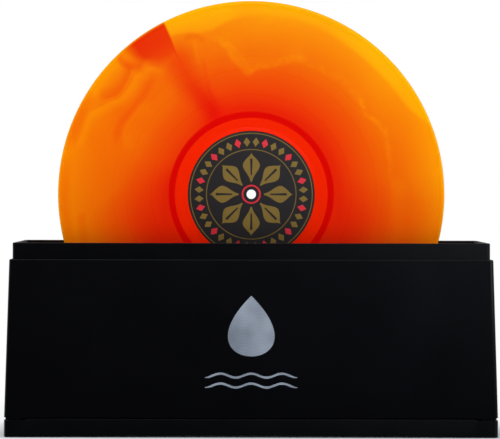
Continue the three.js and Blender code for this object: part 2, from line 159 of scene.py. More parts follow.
def pick(piece, kind, wanted):
    """Selects the vertices, edges or faces for which wanted(element) is true, and nothing else."""
    bpy.ops.mesh.select_mode(type=kind)
    bpy.ops.mesh.select_all(action="DESELECT")
    mesh = bmesh.from_edit_mesh(piece.data)
    elements = {"VERT": mesh.verts, "EDGE": mesh.edges, "FACE": mesh.faces}[kind]
    for element in elements:
        if wanted(element):
            element.select_set(True)
    bmesh.update_edit_mesh(piece.data)


def faces_towards(piece, direction, reached=None, sharpness=0.95):
    """Selects the faces that look along a direction and for which reached(centre) is true."""
    direction = Vector(direction)

    def wanted(face):
        looks = face.normal.dot(direction) > sharpness
        return looks and (reached is None or reached(face.calc_center_median()))

    pick(piece, "FACE", wanted)


def edge_middle(edge):
    return (edge.verts[0].co + edge.verts[1].co) / 2


def edge_direction(edge):
    return (edge.verts[1].co - edge.verts[0].co).normalized()


def upright_edges(piece, reached=lambda middle: True):
    pick(piece, "EDGE", lambda edge: abs(edge_direction(edge).z) > 0.9 and reached(edge_middle(edge)))


def is_sharp(edge, least=math.radians(30)):
    return len(edge.link_faces) == 2 and edge.calc_face_angle(0) > least


def push(x=0.0, y=0.0, z=0.0):
    bpy.ops.transform.translate(value=(x, y, z))


def extrude(x=0.0, y=0.0, z=0.0):
    bpy.ops.mesh.extrude_region_move(TRANSFORM_OT_translate={"value": (x, y, z)})


def widen(about, x=1.0, y=1.0, z=1.0):
    bpy.ops.transform.resize(value=(x, y, z), center_override=tuple(about))


def apply_modifier(piece, kind, **settings):
    make_active(piece)
    modifier = piece.modifiers.new(kind.title(), kind)
    for key, value in settings.items():
        setattr(modifier, key, value)
    bpy.ops.object.modifier_apply(modifier=modifier.name)


def ease_edges(piece, width, segments=2, angle=30):
    """Rounds every edge that is sharper than the angle."""
    apply_modifier(
        piece, "BEVEL", width=width, segments=segments, limit_method="ANGLE", angle_limit=math.radians(angle),
        harden_normals=False,
    )


def join_solid(piece, other, operation="UNION"):
    """Adds another closed piece to this one, or cuts it away, and removes it."""
    apply_modifier(piece, "BOOLEAN", operation=operation, object=other, solver="EXACT")
    bpy.data.objects.remove(other, do_unlink=True)


def close_up(piece):
    """Merges doubled points and turns every face outwards."""
    with editing(piece):
        bpy.ops.mesh.select_all(action="SELECT")
        bpy.ops.mesh.remove_doubles(threshold=0.002 * MM)
        bpy.ops.mesh.normals_make_consistent(inside=False)


def middle_of(piece):
    """Middle of a piece's box."""
    places = [vertex.co for vertex in piece.data.vertices]
    return Vector([(min(values) + max(values)) / 2 for values in zip(*places)])


def copied(piece, place, turn=0.0):
    """Copy with its own mesh, turned about its upright middle and set down with that middle at a place."""
    middle = middle_of(piece)
    make_active(piece)
    bpy.ops.object.duplicate(linked=False)
    twin = bpy.context.object
    twin.rotation_euler.z = turn
    twin.location = Vector(place) - Matrix.Rotation(turn, 3, "Z") @ middle
    bpy.ops.object.transform_apply(location=True, rotation=True, scale=True)
    return twin


def repeat(piece, places):
    """The piece at the first of its places and a copy at each other one, by the name of the place."""
    found = {}
    title = piece.name
    middle = middle_of(piece)
    for name, (x, y, quarters) in places.items():
        place = (x * abs(middle.x), y * abs(middle.y), middle.z)
        found[name] = copied(piece, place, quarters * math.pi / 2) if found else piece
        found[name].name = title + "_" + name
        found[name].data.name = title + "_" + name
    return found


def add_turned(name, profile, centre, axis, steps):
    """Draws a profile of (radius, along) points from one vertex, and spins it about the axis."""
    centre, axis = Vector(centre), Vector(axis)
    out = Vector((1, 0, 0)) if abs(axis.x) < 0.5 else Vector((0, 0, 1))
    points = [centre + out * radius + axis * along for radius, along in profile]
    deselect_objects()
    bpy.ops.mesh.primitive_plane_add(size=MM, location=points[0])
    piece = settle(name)
    with editing(piece):
        bpy.ops.mesh.select_mode(type="VERT")
        bpy.ops.mesh.select_all(action="SELECT")
        bpy.ops.mesh.merge(type="CENTER")
        for start, end in zip(points, points[1:]):
            bpy.ops.mesh.extrude_vertices_move(TRANSFORM_OT_translate={"value": end - start})
        bpy.ops.mesh.select_all(action="SELECT")
        bpy.ops.mesh.spin(steps=steps, angle=math.tau, center=centre, axis=axis)
    close_up(piece)
    return piece


def dress(piece, material, body, slot, *nodes, smooth=30):
    """Gives a finished piece its material, shading and body, and hides the nodes that it stands for; the slot
    is not used.
    """
    piece.data.materials.clear()
    piece.data.materials.append(material)
    make_active(piece)
    bpy.ops.object.shade_smooth_by_angle(angle=math.radians(smooth))
    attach(piece, body)
    if nodes:
        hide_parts(*nodes)
    return piece


# Materials, as node trees with short ways to place a node

def display(red, green, blue):
    """A colour as a display shows it, from 0 to 255, as the shader's linear colour."""
    def linear(value):
        share = value / 255
        return share / 12.92 if share <= 0.04045 else ((share + 0.055) / 1.055) ** 2.4

    return (linear(red), linear(green), linear(blue), 1.0)


def put(tree, kind, inputs=None, **settings):
    """Adds a node with its settings, and gives its inputs a value or a link."""
    node = tree.nodes.new("ShaderNode" + kind)
    for key, value in settings.items():
        setattr(node, key, value)
    for socket, value in (inputs or {}).items():
        if isinstance(value, bpy.types.NodeSocket):
            tree.links.new(value, node.inputs[socket])
        else:
            node.inputs[socket].default_value = value
    return node


def calc(tree, operation, *terms):
    return put(tree, "Math", dict(enumerate(terms)), operation=operation).outputs[0]


def ease(tree, value, low, high, start=0.0, end=1.0):
    """A smooth step of a value from start at low to end at high."""
    inputs = {"Value": value, "From Min": low, "From Max": high, "To Min": start, "To Max": end}
    return put(tree, "MapRange", inputs, interpolation_type="SMOOTHSTEP").outputs["Result"]


def blend_colours(tree, share, first, second, mode="MIX"):
    node = put(tree, "Mix", {0: share, 6: first, 7: second}, data_type="RGBA", blend_type=mode)
    return node.outputs[2]


def noise(tree, place, scale, detail=2.0, roughness=0.5, distortion=0.0):
    inputs = {
        "Vector": place, "Scale": scale, "Detail": detail,
        "Roughness": roughness, "Distortion": distortion,
    }
    return put(tree, "TexNoise", inputs).outputs["Fac"]


def colour_run(tree, share, stops):
    """A run of colours over a share from 0 to 1."""
    node = put(tree, "ValToRGB", {"Fac": share})
    ramp = node.color_ramp
    while len(ramp.elements) < len(stops):
        ramp.elements.new(0.5)
    for element, (position, colour) in zip(ramp.elements, stops):
        element.position = position
        element.color = colour
    return node.outputs["Color"]


def new_finish(name):
    material = bpy.data.materials.new(name)
    material.use_nodes = True
    tree = material.node_tree
    place = put(tree, "TexCoord").outputs["Object"]
    return material, tree, tree.nodes["Principled BSDF"], place


def set_inputs(tree, shader, inputs):
    for socket, value in inputs.items():
        if isinstance(value, bpy.types.NodeSocket):
            tree.links.new(value, shader.inputs[socket])
        else:
            shader.inputs[socket].default_value = value


def bumped(tree, height, depth, strength=1.0):
    return put(tree, "Bump", {"Height": height, "Distance": depth, "Strength": strength}).outputs["Normal"]


def new_effect(name, inputs, outputs):
    """A node group with named inputs and outputs, each with its kind of socket and its value."""
    group = bpy.data.node_groups.new(name, "ShaderNodeTree")
    for title, (kind, value) in inputs.items():
        socket = group.interface.new_socket(title, in_out="INPUT", socket_type="NodeSocket" + kind)
        if value is not None:
            socket.default_value = value
    for title, kind in outputs.items():
        group.interface.new_socket(title, in_out="OUTPUT", socket_type="NodeSocket" + kind)
    entry = group.nodes.new("NodeGroupInput")
    result = group.nodes.new("NodeGroupOutput")
    return group, entry.outputs, result.inputs


def use_effect(tree, group, inputs):
    node = tree.nodes.new("ShaderNodeGroup")
    node.node_tree = group
    set_inputs(tree, node, inputs)
    return node.outputs


def make_moulded_grain():
    """Fine spark-eroded grain with soft handling marks: a height, and a share that shifts the roughness."""
    group, given, result = new_effect(
        "moulded_grain",
        {"Place": ("Vector", None), "Grain": ("Float", 1800.0), "Marks": ("Float", 14.0)},
        {"Height": "Float", "Gloss": "Float"},
    )
    fine = noise(group, given["Place"], given["Grain"], 3.0, 0.6)
    broad = noise(group, given["Place"], given["Marks"], 4.0, 0.55, 0.6)
    group.links.new(fine, result["Height"])
    gloss = calc(group, "ADD", calc(group, "MULTIPLY", fine, 0.3), calc(group, "MULTIPLY", broad, 0.7))
    group.links.new(gloss, result["Gloss"])
    return group


def make_edge_rub_and_highlight():
    """A mask of the edges, where handling has polished the plastic and where the edges are lightened, partly
    as a painted highlight.
    """
    group, given, result = new_effect(
        "edge_rub_and_highlight",
        {"Place": ("Vector", None), "Reach": ("Float", 0.0008), "Patches": ("Float", 120.0)},
        {"Mask": "Float"},
    )
    rounded = put(group, "Bevel", {"Radius": given["Reach"]}, samples=4).outputs["Normal"]
    true = put(group, "NewGeometry").outputs["Normal"]
    same = put(group, "VectorMath", {0: rounded, 1: true}, operation="DOT_PRODUCT").outputs["Value"]
    edge = ease(group, same, 0.995, 0.86)
    patches = ease(group, noise(group, given["Place"], given["Patches"], 3.0, 0.6), 0.35, 0.7)
    group.links.new(calc(group, "MULTIPLY", edge, patches), result["Mask"])
    return group


def make_settled_dust():
    """A mask of fine specks that lie on what faces up."""
    group, given, result = new_effect(
        "settled_dust",
        {"Place": ("Vector", None), "Specks": ("Float", 700.0), "Amount": ("Float", 0.5)},
        {"Mask": "Float"},
    )
    normal = put(group, "NewGeometry").outputs["Normal"]
    up = put(group, "SeparateXYZ", {0: normal}).outputs["Z"]
    lying = ease(group, up, 0.35, 0.95)
    specks = ease(group, noise(group, given["Place"], given["Specks"], 1.0, 0.4), 0.62, 0.74)
    film = ease(group, noise(group, given["Place"], 30.0, 4.0, 0.6), 0.35, 0.75, 0.0, 0.35)
    amount = calc(group, "MULTIPLY", calc(group, "ADD", specks, film), given["Amount"])
    group.links.new(calc(group, "MULTIPLY", lying, amount), result["Mask"])
    return group


def make_disc_place():
    """Radius and angle about an axis along Y through a centre, with the angle in degrees from +X."""
    group, given, result = new_effect(
        "disc_place",
        {"Place": ("Vector", None)},
        {"Radius": "Float", "Degrees": "Float", "Across": "Float", "Up": "Float"},
    )
    parts = put(group, "SeparateXYZ", {0: given["Place"]}).outputs
    flat = put(group, "CombineXYZ", {"X": parts["X"], "Z": parts["Z"]}).outputs[0]
    radius = put(group, "VectorMath", {0: flat}, operation="LENGTH").outputs["Value"]
    angle = calc(group, "ARCTAN2", parts["Z"], parts["X"])
    group.links.new(radius, result["Radius"])
    group.links.new(calc(group, "DEGREES", angle), result["Degrees"])
    group.links.new(parts["X"], result["Across"])
    group.links.new(parts["Z"], result["Up"])
    return group


moulded_grain = make_moulded_grain()
edge_rub_and_highlight = make_edge_rub_and_highlight()
settled_dust = make_settled_dust()
disc_place = make_disc_place()


def centred(tree, place, centre):
    """Object coordinates moved so that a centre is at zero."""
    return put(tree, "Mapping", {"Vector": place, "Location": -Vector(centre)}).outputs["Vector"]


def make_black_plastic(name, colour, roughness, grain, depth, marks=14.0, dust=0.5, worn_and_lit=(22, 23, 26)):
    """Black moulded plastic with a fine grain, handling marks, rubbed edges that are lightened partly as a
    painted highlight, and a little dust.
    """
    material, tree, shader, place = new_finish(name)
    surface = use_effect(tree, moulded_grain, {"Place": place, "Grain": grain, "Marks": marks})
    rub_and_highlight = use_effect(tree, edge_rub_and_highlight, {"Place": place})["Mask"]
    dusty = use_effect(tree, settled_dust, {"Place": place, "Amount": dust})["Mask"]
    tone = blend_colours(tree, ease(tree, surface["Gloss"], 0.3, 0.7, 0.0, 0.4), display(*colour),
                         display(*[1.35 * part for part in colour]))
    # Painted highlight, partly rubbing: the edges are lightened towards a paler grey
    rubbed_and_lit = blend_colours(tree, calc(tree, "MULTIPLY", rub_and_highlight, 0.5), tone, display(*worn_and_lit))
    dusted = blend_colours(tree, calc(tree, "MULTIPLY", dusty, 0.16), rubbed_and_lit, display(150, 148, 145))
    rough = ease(tree, surface["Gloss"], 0.3, 0.7, roughness - 0.05, roughness + 0.06)
    rough = calc(tree, "SUBTRACT", rough, calc(tree, "MULTIPLY", rub_and_highlight, 0.08))
    rough = calc(tree, "ADD", rough, calc(tree, "MULTIPLY", dusty, 0.25))
    set_inputs(tree, shader, {
        "Base Color": dusted, "Roughness": rough, "Normal": bumped(tree, surface["Height"], depth),
        "Specular IOR Level": 0.28,
    })
    return material


def curve_of(tree, value, points):
    """A smooth curve through points, of a value from 0 to 1, with results from 0 to 1."""
    node = put(tree, "FloatCurve", {"Value": value})
    curve = node.mapping.curves[0]
    curve.points[0].location = points[0]
    curve.points[1].location = points[-1]
    for along, level in points[1:-1]:
        curve.points.new(along, level)
    node.mapping.extend = "HORIZONTAL"
    node.mapping.update()
    return node.outputs[0]


def drawn_line(tree, place, points, left, right):
    """A share that is one along a smooth line through points, and fades to its left and right.

    Points and distances are in millimetres across and up from the disc's centre.
    """
    (start_x, start_z), (end_x, end_z) = points[0], points[-1]
    length = math.hypot(end_x - start_x, end_z - start_z)
    lean = math.atan2(end_z - start_z, end_x - start_x)
    turn = Matrix.Rotation(-lean, 2)
    bow = [turn @ Vector((x - start_x, z - start_z)) / length for x, z in points]
    straight = put(tree, "Mapping", {
        "Vector": place, "Location": (start_x * MM, 0, start_z * MM), "Rotation": (0, -lean, 0),
        "Scale": (length * MM, length * MM, length * MM),
    }, vector_type="TEXTURE").outputs["Vector"]
    parts = put(tree, "SeparateXYZ", {0: straight}).outputs
    line = curve_of(tree, parts["X"], [(along, 0.5 + side) for along, side in bow])
    side = calc(tree, "SUBTRACT", parts["Z"], line)
    share = calc(tree, "MULTIPLY", ease(tree, side, left / length - 0.5, -0.5),
                 ease(tree, side, -right / length - 0.5, -0.5))
    ends = calc(tree, "MULTIPLY", ease(tree, parts["X"], -0.06, 0.14), ease(tree, parts["X"], 1.06, 0.86))
    return calc(tree, "MULTIPLY", share, ends)


# Folds in the vinyl: the points of each line, its fade to the left and right, and its shift of the colour
VINYL_FOLDS = [
    # The long fold at the upper left, with its dark back edge and the hollow that follows it
    ([(-83, 96), (-89.8, 92), (-92.6, 86.4), (-96.5, 80.9), (-102, 75.9), (-109.8, 71.4), (-118.7, 66.9),
      (-125, 62)],
     9.0, 2.2, 0.075),
    ([(-92, 100), (-95.3, 93.1), (-97.6, 87.6), (-103.1, 80.9), (-109.8, 77), (-117, 74)], 2.2, 10.0, -0.09),
    ([(-77, 93), (-80.9, 85.3), (-85.3, 76.4), (-93.1, 66.4), (-100.9, 57.5), (-104.8, 48.6), (-106, 38)],
     6.0, 5.0, -0.055),
    ([(-80, 72), (-88.7, 65.3), (-95.3, 56.4), (-98.7, 48.6), (-100, 38)], 10.0, 3.0, 0.035),
    ([(-123, 66), (-126.5, 59.7), (-130.4, 48.6), (-135, 36)], 7.0, 3.5, 0.04),
    # Below the wedge
    ([(-84, 97), (-77.5, 98.8), (-70.8, 96.5), (-66, 99)], 1.6, 7.0, 0.045),
    ([(-104, 106), (-95, 101), (-84, 102)], 8.0, 6.0, -0.12),
    # Paler above the long wisp at the top
    ([(-27, 123), (-20, 115), (-15, 107), (-10, 101), (-2, 93)], 18.0, 3.0, 0.04),
    ([(-6, 92), (5, 97.5), (21, 101), (44, 105)], 20.0, 3.0, 0.04),
    # Right of the seam
    ([(-53, 122), (-45, 123), (-37, 121)], 3.0, 5.0, -0.06),
    ([(-45, 119), (-43, 110), (-41, 99)], 3.0, 3.0, 0.04),
    ([(-38, 106), (-35.5, 95), (-32, 83)], 3.0, 3.0, -0.03),
    # Paler inside the edge at the upper left
    ([(-126, 78), (-116, 91), (-104, 104)], 7.0, 9.0, 0.06),
    # Lower down at both sides
    ([(112, 14), (114, -8), (110, -42)], 12.0, 12.0, 0.05),
    ([(-132, -14), (-132, -25), (-130, -40)], 6.0, 6.0, -0.05),
]

# Wisps, drawn the same way
VINYL_WISPS = [
    ([(-33, 124), (-29.5, 121.9), (-20.6, 115.5), (-15.1, 108.7), (-10.6, 102), (-5, 95.9), (-0.5, 93)],
     6.0, 4.0, 0.05),
    ([(-24, 122), (-15, 115), (-8, 107), (-2, 99), (3, 92)], 2.2, 2.2, 0.03),
    ([(-4, 93), (0, 94.5), (5, 98.5), (13.5, 99.5), (21.3, 102.7), (30.7, 105.1), (42, 106)],
     6.0, 2.4, 0.045),
    ([(36, 107), (54.1, 97.5), (69.7, 90.2), (79.1, 80.9), (87, 66)], 6.0, 6.0, 0.035),
    ([(84, 74), (86.9, 68.4), (88.4, 62.1), (94.7, 57.5), (100.9, 52), (106, 47)], 5.0, 1.8, 0.085),
    ([(103, 51), (106.4, 38.7), (108, 26.2), (107, 13)], 3.6, 3.0, 0.045),
]


def make_vinyl():
    """Marbled vinyl: red at the heart, orange to amber outwards, with a dark wedge, folds and wisps, painted
    shade low down and at the edge's bead, and a painted highlight along the edge.
    """
    material, tree, shader, place = new_finish("marbled_vinyl")
    local = centred(tree, place, record_centre)
    disc = use_effect(tree, disc_place, {"Place": local})
    share = calc(tree, "DIVIDE", disc["Radius"], record_radius)
    degrees = disc["Degrees"]

    def near(across, up, reach):
        """A share that is one at a point, in millimetres from the disc's centre, and fades at its reach."""
        point = (across * MM, 0.0, up * MM)
        away = put(tree, "VectorMath", {0: local, 1: point}, operation="DISTANCE").outputs["Value"]
        return ease(tree, away, reach * MM, 0.4 * reach * MM)

    def sector(middle, wide, narrow):
        """A share that is one at a bearing and falls to nothing at its sides."""
        return ease(tree, calc(tree, "ABSOLUTE", calc(tree, "SUBTRACT", degrees, middle)), wide, narrow)

    def stirred(scale, reach):
        """The place moved a little by a slow noise, so that what is drawn there runs like smoke."""
        slow = put(tree, "TexNoise", {"Vector": local, "Scale": scale, "Detail": 3.0}).outputs["Color"]
        shift = put(tree, "VectorMath", {0: slow, 1: (0.5, 0.5, 0.5)}, operation="SUBTRACT").outputs[0]
        shift = put(tree, "VectorMath", {0: shift, "Scale": reach}, operation="SCALE").outputs[0]
        return put(tree, "VectorMath", {0: local, 1: shift}, operation="ADD").outputs[0]

    smoke = noise(tree, local, 9.0, 5.0, 0.55, 1.2)
    swing = ease(tree, share, 0.45, 0.9, 0.03, 0.13)
    swirl = calc(tree, "MULTIPLY", calc(tree, "SUBTRACT", smoke, 0.5), swing)
    run = calc(tree, "ADD", share, swirl)
    folding = stirred(45.0, 6.0 * MM)
    for points, left, right, shift in VINYL_FOLDS:
        run = calc(tree, "MULTIPLY_ADD", drawn_line(tree, folding, points, left, right), shift, run)
    threads = ease(tree, noise(tree, stirred(60.0, 10.0 * MM), 170.0, 3.0, 0.6), 0.36, 0.6, 0.35, 1.15)
    curling = stirred(110.0, 4.0 * MM)
    for points, left, right, shift in VINYL_WISPS:
        drawn = calc(tree, "MULTIPLY", drawn_line(tree, curling, points, left, right), threads)
        run = calc(tree, "MULTIPLY_ADD", drawn, shift, run)

    # Amber band inside the edge, from the seam round to the right
    bearing = calc(tree, "DIVIDE", degrees, 125.0)
    band_edge = curve_of(tree, bearing, [
        (0.0, 1.0), (0.15, 0.95), (0.20, 0.72), (0.26, 0.48), (0.35, 0.44), (0.44, 0.45),
        (0.52, 0.53), (0.58, 0.56), (0.67, 0.56), (0.71, 0.52), (0.75, 0.46), (0.786, 0.36),
        (0.814, 0.23), (0.84, 0.18), (0.887, 0.33), (1.0, 0.7),
    ])
    band_level = curve_of(tree, bearing, [
        (0.0, 0.0), (0.14, 0.0), (0.20, 0.75), (0.40, 0.8), (0.48, 0.6), (0.56, 0.3),
        (0.70, 0.25), (0.76, 0.55), (0.80, 0.85), (0.97, 0.85), (1.0, 0.0),
    ])
    inside_band = calc(tree, "SUBTRACT", share, calc(tree, "MULTIPLY_ADD", band_edge, 0.15, 0.85))
    band = calc(tree, "MULTIPLY", ease(tree, inside_band, -0.018, 0.012, 0.0, 0.115), band_level)
    warm_left = calc(tree, "MULTIPLY", sector(145.0, 32.0, 8.0), ease(tree, share, 0.78, 0.62, 0.0, 0.07))
    run = calc(tree, "ADD", run, calc(tree, "ADD", band, warm_left))

    red_left = calc(tree, "MULTIPLY", sector(158.0, 11.0, 3.0), ease(tree, share, 0.925, 0.965, 0.0, 0.09))
    rim_left = calc(tree, "MULTIPLY", near(-148.0, -6.0, 46.0), ease(tree, share, 0.92, 0.965, 0.0, 0.08))
    red_left = calc(tree, "MAXIMUM", red_left, rim_left)
    # Darker on the left side, and painted shade from the bath over the lower half of the grooves
    dull_left = calc(tree, "MULTIPLY", ease(tree, disc["Across"], 0.02, -0.13, 0.0, 0.13),
                     ease(tree, share, 0.6, 0.95))
    dull_side = ease(tree, disc["Across"], 0.095, 0.125, 0.0, 0.065)
    painted_low_shade = calc(tree, "MULTIPLY", ease(tree, disc["Up"], 0.02, -0.03, 0.0, 0.12),
                      ease(tree, share, 0.40, 0.62))
    run = calc(tree, "SUBTRACT", run, calc(tree, "ADD", red_left, dull_side))
    run = calc(tree, "SUBTRACT", run, calc(tree, "MAXIMUM", dull_left, painted_low_shade))
    grooves = colour_run(tree, calc(tree, "DIVIDE", run, 1.12), [
        (0.40, display(235, 34, 0)),
        (0.47, display(240, 60, 0)),
        (0.57, display(243, 86, 0)),
        (0.68, display(247, 116, 0)),
        (0.79, display(253, 143, 0)),
        (0.87, display(255, 165, 0)),
        (0.98, display(255, 184, 0)),
    ])

    # Wedge with one sharp side, and the seam that runs on from it to the last groove
    border = ease(tree, share, 0.44, 0.68, 114.0, 118.2)
    edge = calc(tree, "SUBTRACT", border, ease(tree, share, 0.8, 1.0, 0.0, 0.6))
    past = calc(tree, "SUBTRACT", degrees, edge)
    frayed = calc(tree, "SUBTRACT", noise(tree, local, 60.0, 4.0, 0.6, 0.8), 0.5)
    frayed = calc(tree, "MULTIPLY", frayed, 0.07)
    fall = calc(tree, "MULTIPLY", calc(tree, "POWER", calc(tree, "MAXIMUM", past, 0.0), 3.0), 0.00005)
    depth = calc(tree, "SUBTRACT", calc(tree, "ADD", share, frayed), fall)
    wedge = calc(tree, "MULTIPLY", ease(tree, past, -0.2, 0.2), ease(tree, depth, 0.755, 0.85))
    wedge = calc(tree, "MULTIPLY", wedge, ease(tree, past, 16.5, 10.0))
    seam = calc(tree, "MULTIPLY", ease(tree, past, -9.5, 0.5), ease(tree, past, 11.0, 1.0))
    seam = calc(tree, "MULTIPLY", seam, ease(tree, share, 0.93, 0.77, 0.0, 0.88))
    line = calc(tree, "MULTIPLY", ease(tree, past, -1.0, 0.0), ease(tree, past, 1.8, 0.3))
    second = calc(tree, "MULTIPLY", sector(112.2, 1.6, 0.3), ease(tree, share, 0.66, 0.58, 0.0, 0.7))
    line = calc(tree, "MAXIMUM", calc(tree, "MULTIPLY", line, 0.96), second)
    dark = calc(tree, "MAXIMUM", calc(tree, "MULTIPLY", wedge, 0.96), calc(tree, "MAXIMUM", seam, line))
    dark_tone = blend_colours(tree, ease(tree, share, 0.80, 0.97), display(238, 62, 0), display(232, 36, 0))
    dark_tone = blend_colours(tree, ease(tree, share, 0.76, 0.46), dark_tone, display(232, 14, 0))
    wedged = blend_colours(tree, dark, grooves, dark_tone)

    # Land round the label, with a darker band where the last groove runs, and a painted highlight along the
    # edge
    land = ease(tree, share, 0.3975, 0.3915)
    last_groove = calc(tree, "MULTIPLY", ease(tree, share, 0.3915, 0.3975), ease(tree, share, 0.432, 0.424))
    heart = blend_colours(tree, last_groove, wedged, display(220, 4, 0))
    heart = blend_colours(tree, land, heart, display(244, 35, 0))
    # Painted highlight: a thin bright yellow line along the very edge
    painted_rim_highlight = ease(tree, share, 0.988, 0.997)
    coloured = blend_colours(tree, calc(tree, "MULTIPLY", painted_rim_highlight, 0.4), heart, display(255, 196, 0))

    # Grooves of uneven depth, with a smoother gap between two tracks, and a thin painted shadow of the bead
    # inside the edge
    along = calc(tree, "MULTIPLY", disc["Radius"], 1000.0)
    ring = put(tree, "TexNoise", {"W": along, "Scale": 0.9, "Detail": 3.0},
               noise_dimensions="1D").outputs["Fac"]
    gaps = 0.0
    for place_share in (0.518, 0.647, 0.714):
        away = calc(tree, "ABSOLUTE", calc(tree, "SUBTRACT", share, place_share))
        gap = ease(tree, away, 0.0042, 0.0028)
        gaps = gap if gaps == 0.0 else calc(tree, "MAXIMUM", gaps, gap)
    grooved = calc(tree, "MULTIPLY", ease(tree, share, 0.424, 0.434), ease(tree, share, 0.978, 0.972))
    grooved = calc(tree, "MULTIPLY", grooved, calc(tree, "SUBTRACT", 1.0, calc(tree, "MULTIPLY", gaps, 0.6)))
    height = calc(tree, "MULTIPLY", ring, grooved)
    # Painted shadow: a thin dark ring at the foot of the edge's bead
    bead_shadow_away = calc(tree, "ABSOLUTE", calc(tree, "SUBTRACT", share, 0.9795))
    painted_bead_shadow = ease(tree, bead_shadow_away, 0.005, 0.001, 0.0, 0.035)
    shade = calc(tree, "SUBTRACT", 1.0, calc(tree, "ADD", calc(tree, "MULTIPLY", gaps, 0.014), painted_bead_shadow))
    shade = calc(tree, "SUBTRACT", shade, calc(tree, "MULTIPLY", calc(tree, "MULTIPLY", ring, grooved), 0.05))
    shade_colour = put(tree, "CombineColor", {"Red": shade, "Green": shade, "Blue": shade}).outputs[0]
    coloured = blend_colours(tree, 1.0, coloured, shade_colour, "MULTIPLY")
    set_inputs(tree, shader, {
        "Base Color": coloured,
        "Roughness": calc(tree, "ADD", 0.2, calc(tree, "MULTIPLY", grooved, 0.08)),
        "Normal": bumped(tree, height, 0.01 * MM, 0.6),
        "Specular IOR Level": 0.12,
    })
    return material


def make_label_paper():
    """Matt black paper with a plain rosette and bars in gold and red, like a blank test label."""
    material, tree, shader, place = new_finish("printed_label")
    local = centred(tree, place, record_centre)
    disc = use_effect(tree, disc_place, {"Place": local})
    share = calc(tree, "DIVIDE", disc["Radius"], label_radius)
    degrees = disc["Degrees"]

    def ring_mask(inner, outer):
        soft = 0.006
        return calc(tree, "MULTIPLY", ease(tree, share, inner - soft, inner + soft),
                    ease(tree, share, outer + soft, outer - soft))

    def repeated(count, turn=0.0):
        """How far an angle is from the middle of its segment, from 0 to 1."""
        step = 360.0 / count
        shifted = calc(tree, "ADD", degrees, 720.0 + turn)
        within = calc(tree, "MODULO", shifted, step)
        return calc(tree, "ABSOLUTE", calc(tree, "SUBTRACT", calc(tree, "DIVIDE", within, step / 2), 1.0))

    # Lozenges in the outer band, every third one red
    band_middle, band_half = 0.825, 0.075
    across = repeated(36)
    along = calc(tree, "ABSOLUTE", calc(tree, "SUBTRACT", share, band_middle))
    along = calc(tree, "DIVIDE", along, band_half)
    lozenge = ease(tree, calc(tree, "ADD", calc(tree, "MULTIPLY", across, 1.35), along), 1.04, 0.92)
    red_sector = ease(tree, repeated(12), 0.36, 0.30)

    # Petals of a rosette, and a plain ring round the hole
    petal = repeated(8, 22.5)
    petal_width = ease(tree, share, 0.16, 0.44, 0.12, 0.74)
    petal_taper = ease(tree, share, 0.66, 0.46, 0.0, 1.0)
    petal_reach = calc(tree, "MULTIPLY", petal_width, petal_taper)
    petals = ease(tree, calc(tree, "SUBTRACT", petal, petal_reach), 0.03, -0.03)
    petals = calc(tree, "MULTIPLY", petals, ring_mask(0.20, 0.66))
    vein = calc(tree, "MULTIPLY", ease(tree, petal, 0.11, 0.07), ring_mask(0.30, 0.56))
    petals = calc(tree, "SUBTRACT", petals, vein)

    gold = calc(tree, "MAXIMUM", calc(tree, "MAXIMUM", lozenge, petals), ring_mask(0.955, 0.968))
    gold = calc(tree, "MAXIMUM", gold, ring_mask(0.700, 0.712))
    red = calc(tree, "MULTIPLY", lozenge, red_sector)
    red = calc(tree, "MAXIMUM", red, ring_mask(0.125, 0.15))

    fibres = noise(tree, local, 900.0, 4.0, 0.65)
    rubbed_ink = ease(tree, fibres, 0.28, 0.5, 0.82, 1.0)
    paper = blend_colours(tree, fibres, display(33, 30, 31), display(45, 42, 42))
    ink = blend_colours(tree, calc(tree, "MULTIPLY", gold, rubbed_ink), paper, display(126, 102, 46))
    ink = blend_colours(tree, calc(tree, "MULTIPLY", red, rubbed_ink), ink, display(214, 42, 58))
    set_inputs(tree, shader, {
        "Base Color": ink,
        "Roughness": ease(tree, fibres, 0.2, 0.8, 0.6, 0.75),
        "Normal": bumped(tree, fibres, 0.03 * MM, 0.5),
        "Specular IOR Level": 0.3,
    })
    return material


def make_silver_print():
    """Silver-grey printing ink with a fine screen of wavy lines."""
    material, tree, shader, place = new_finish("silver_print")
    parts = put(tree, "SeparateXYZ", {0: place}).outputs
    wave = calc(tree, "MULTIPLY", calc(tree, "SINE", calc(tree, "MULTIPLY", parts["X"], 260.0)), 0.0012)
    level = calc(tree, "ADD", parts["Z"], wave)
    lines = calc(tree, "SINE", calc(tree, "MULTIPLY", level, math.tau / 0.0011))
    sheen = noise(tree, place, 40.0, 2.0)
    tone = calc(tree, "ADD", calc(tree, "MULTIPLY", lines, 0.12), calc(tree, "MULTIPLY", sheen, 0.8))
    ink = blend_colours(tree, ease(tree, tone, 0.1, 0.75), display(98, 106, 118), display(150, 159, 170))
    set_inputs(tree, shader, {
        "Base Color": ink,
        "Roughness": ease(tree, sheen, 0.3, 0.7, 0.38, 0.5),
        "Normal": bumped(tree, lines, 0.01 * MM, 0.4),
    })
    return material


def make_rubber(name, dark, light, grain, depth):
    """Rubber with a dull bloom and fine pits."""
    material, tree, shader, place = new_finish(name)
    surface = use_effect(tree, moulded_grain, {"Place": place, "Grain": grain, "Marks": 60.0})
    bloom = ease(tree, surface["Gloss"], 0.35, 0.65)
    set_inputs(tree, shader, {
        "Base Color": blend_colours(tree, bloom, display(*dark), display(*light)),
        "Roughness": ease(tree, surface["Gloss"], 0.3, 0.7, 0.68, 0.86),
        "Normal": bumped(tree, surface["Height"], depth),
        "Specular IOR Level": 0.35,
    })
    return material


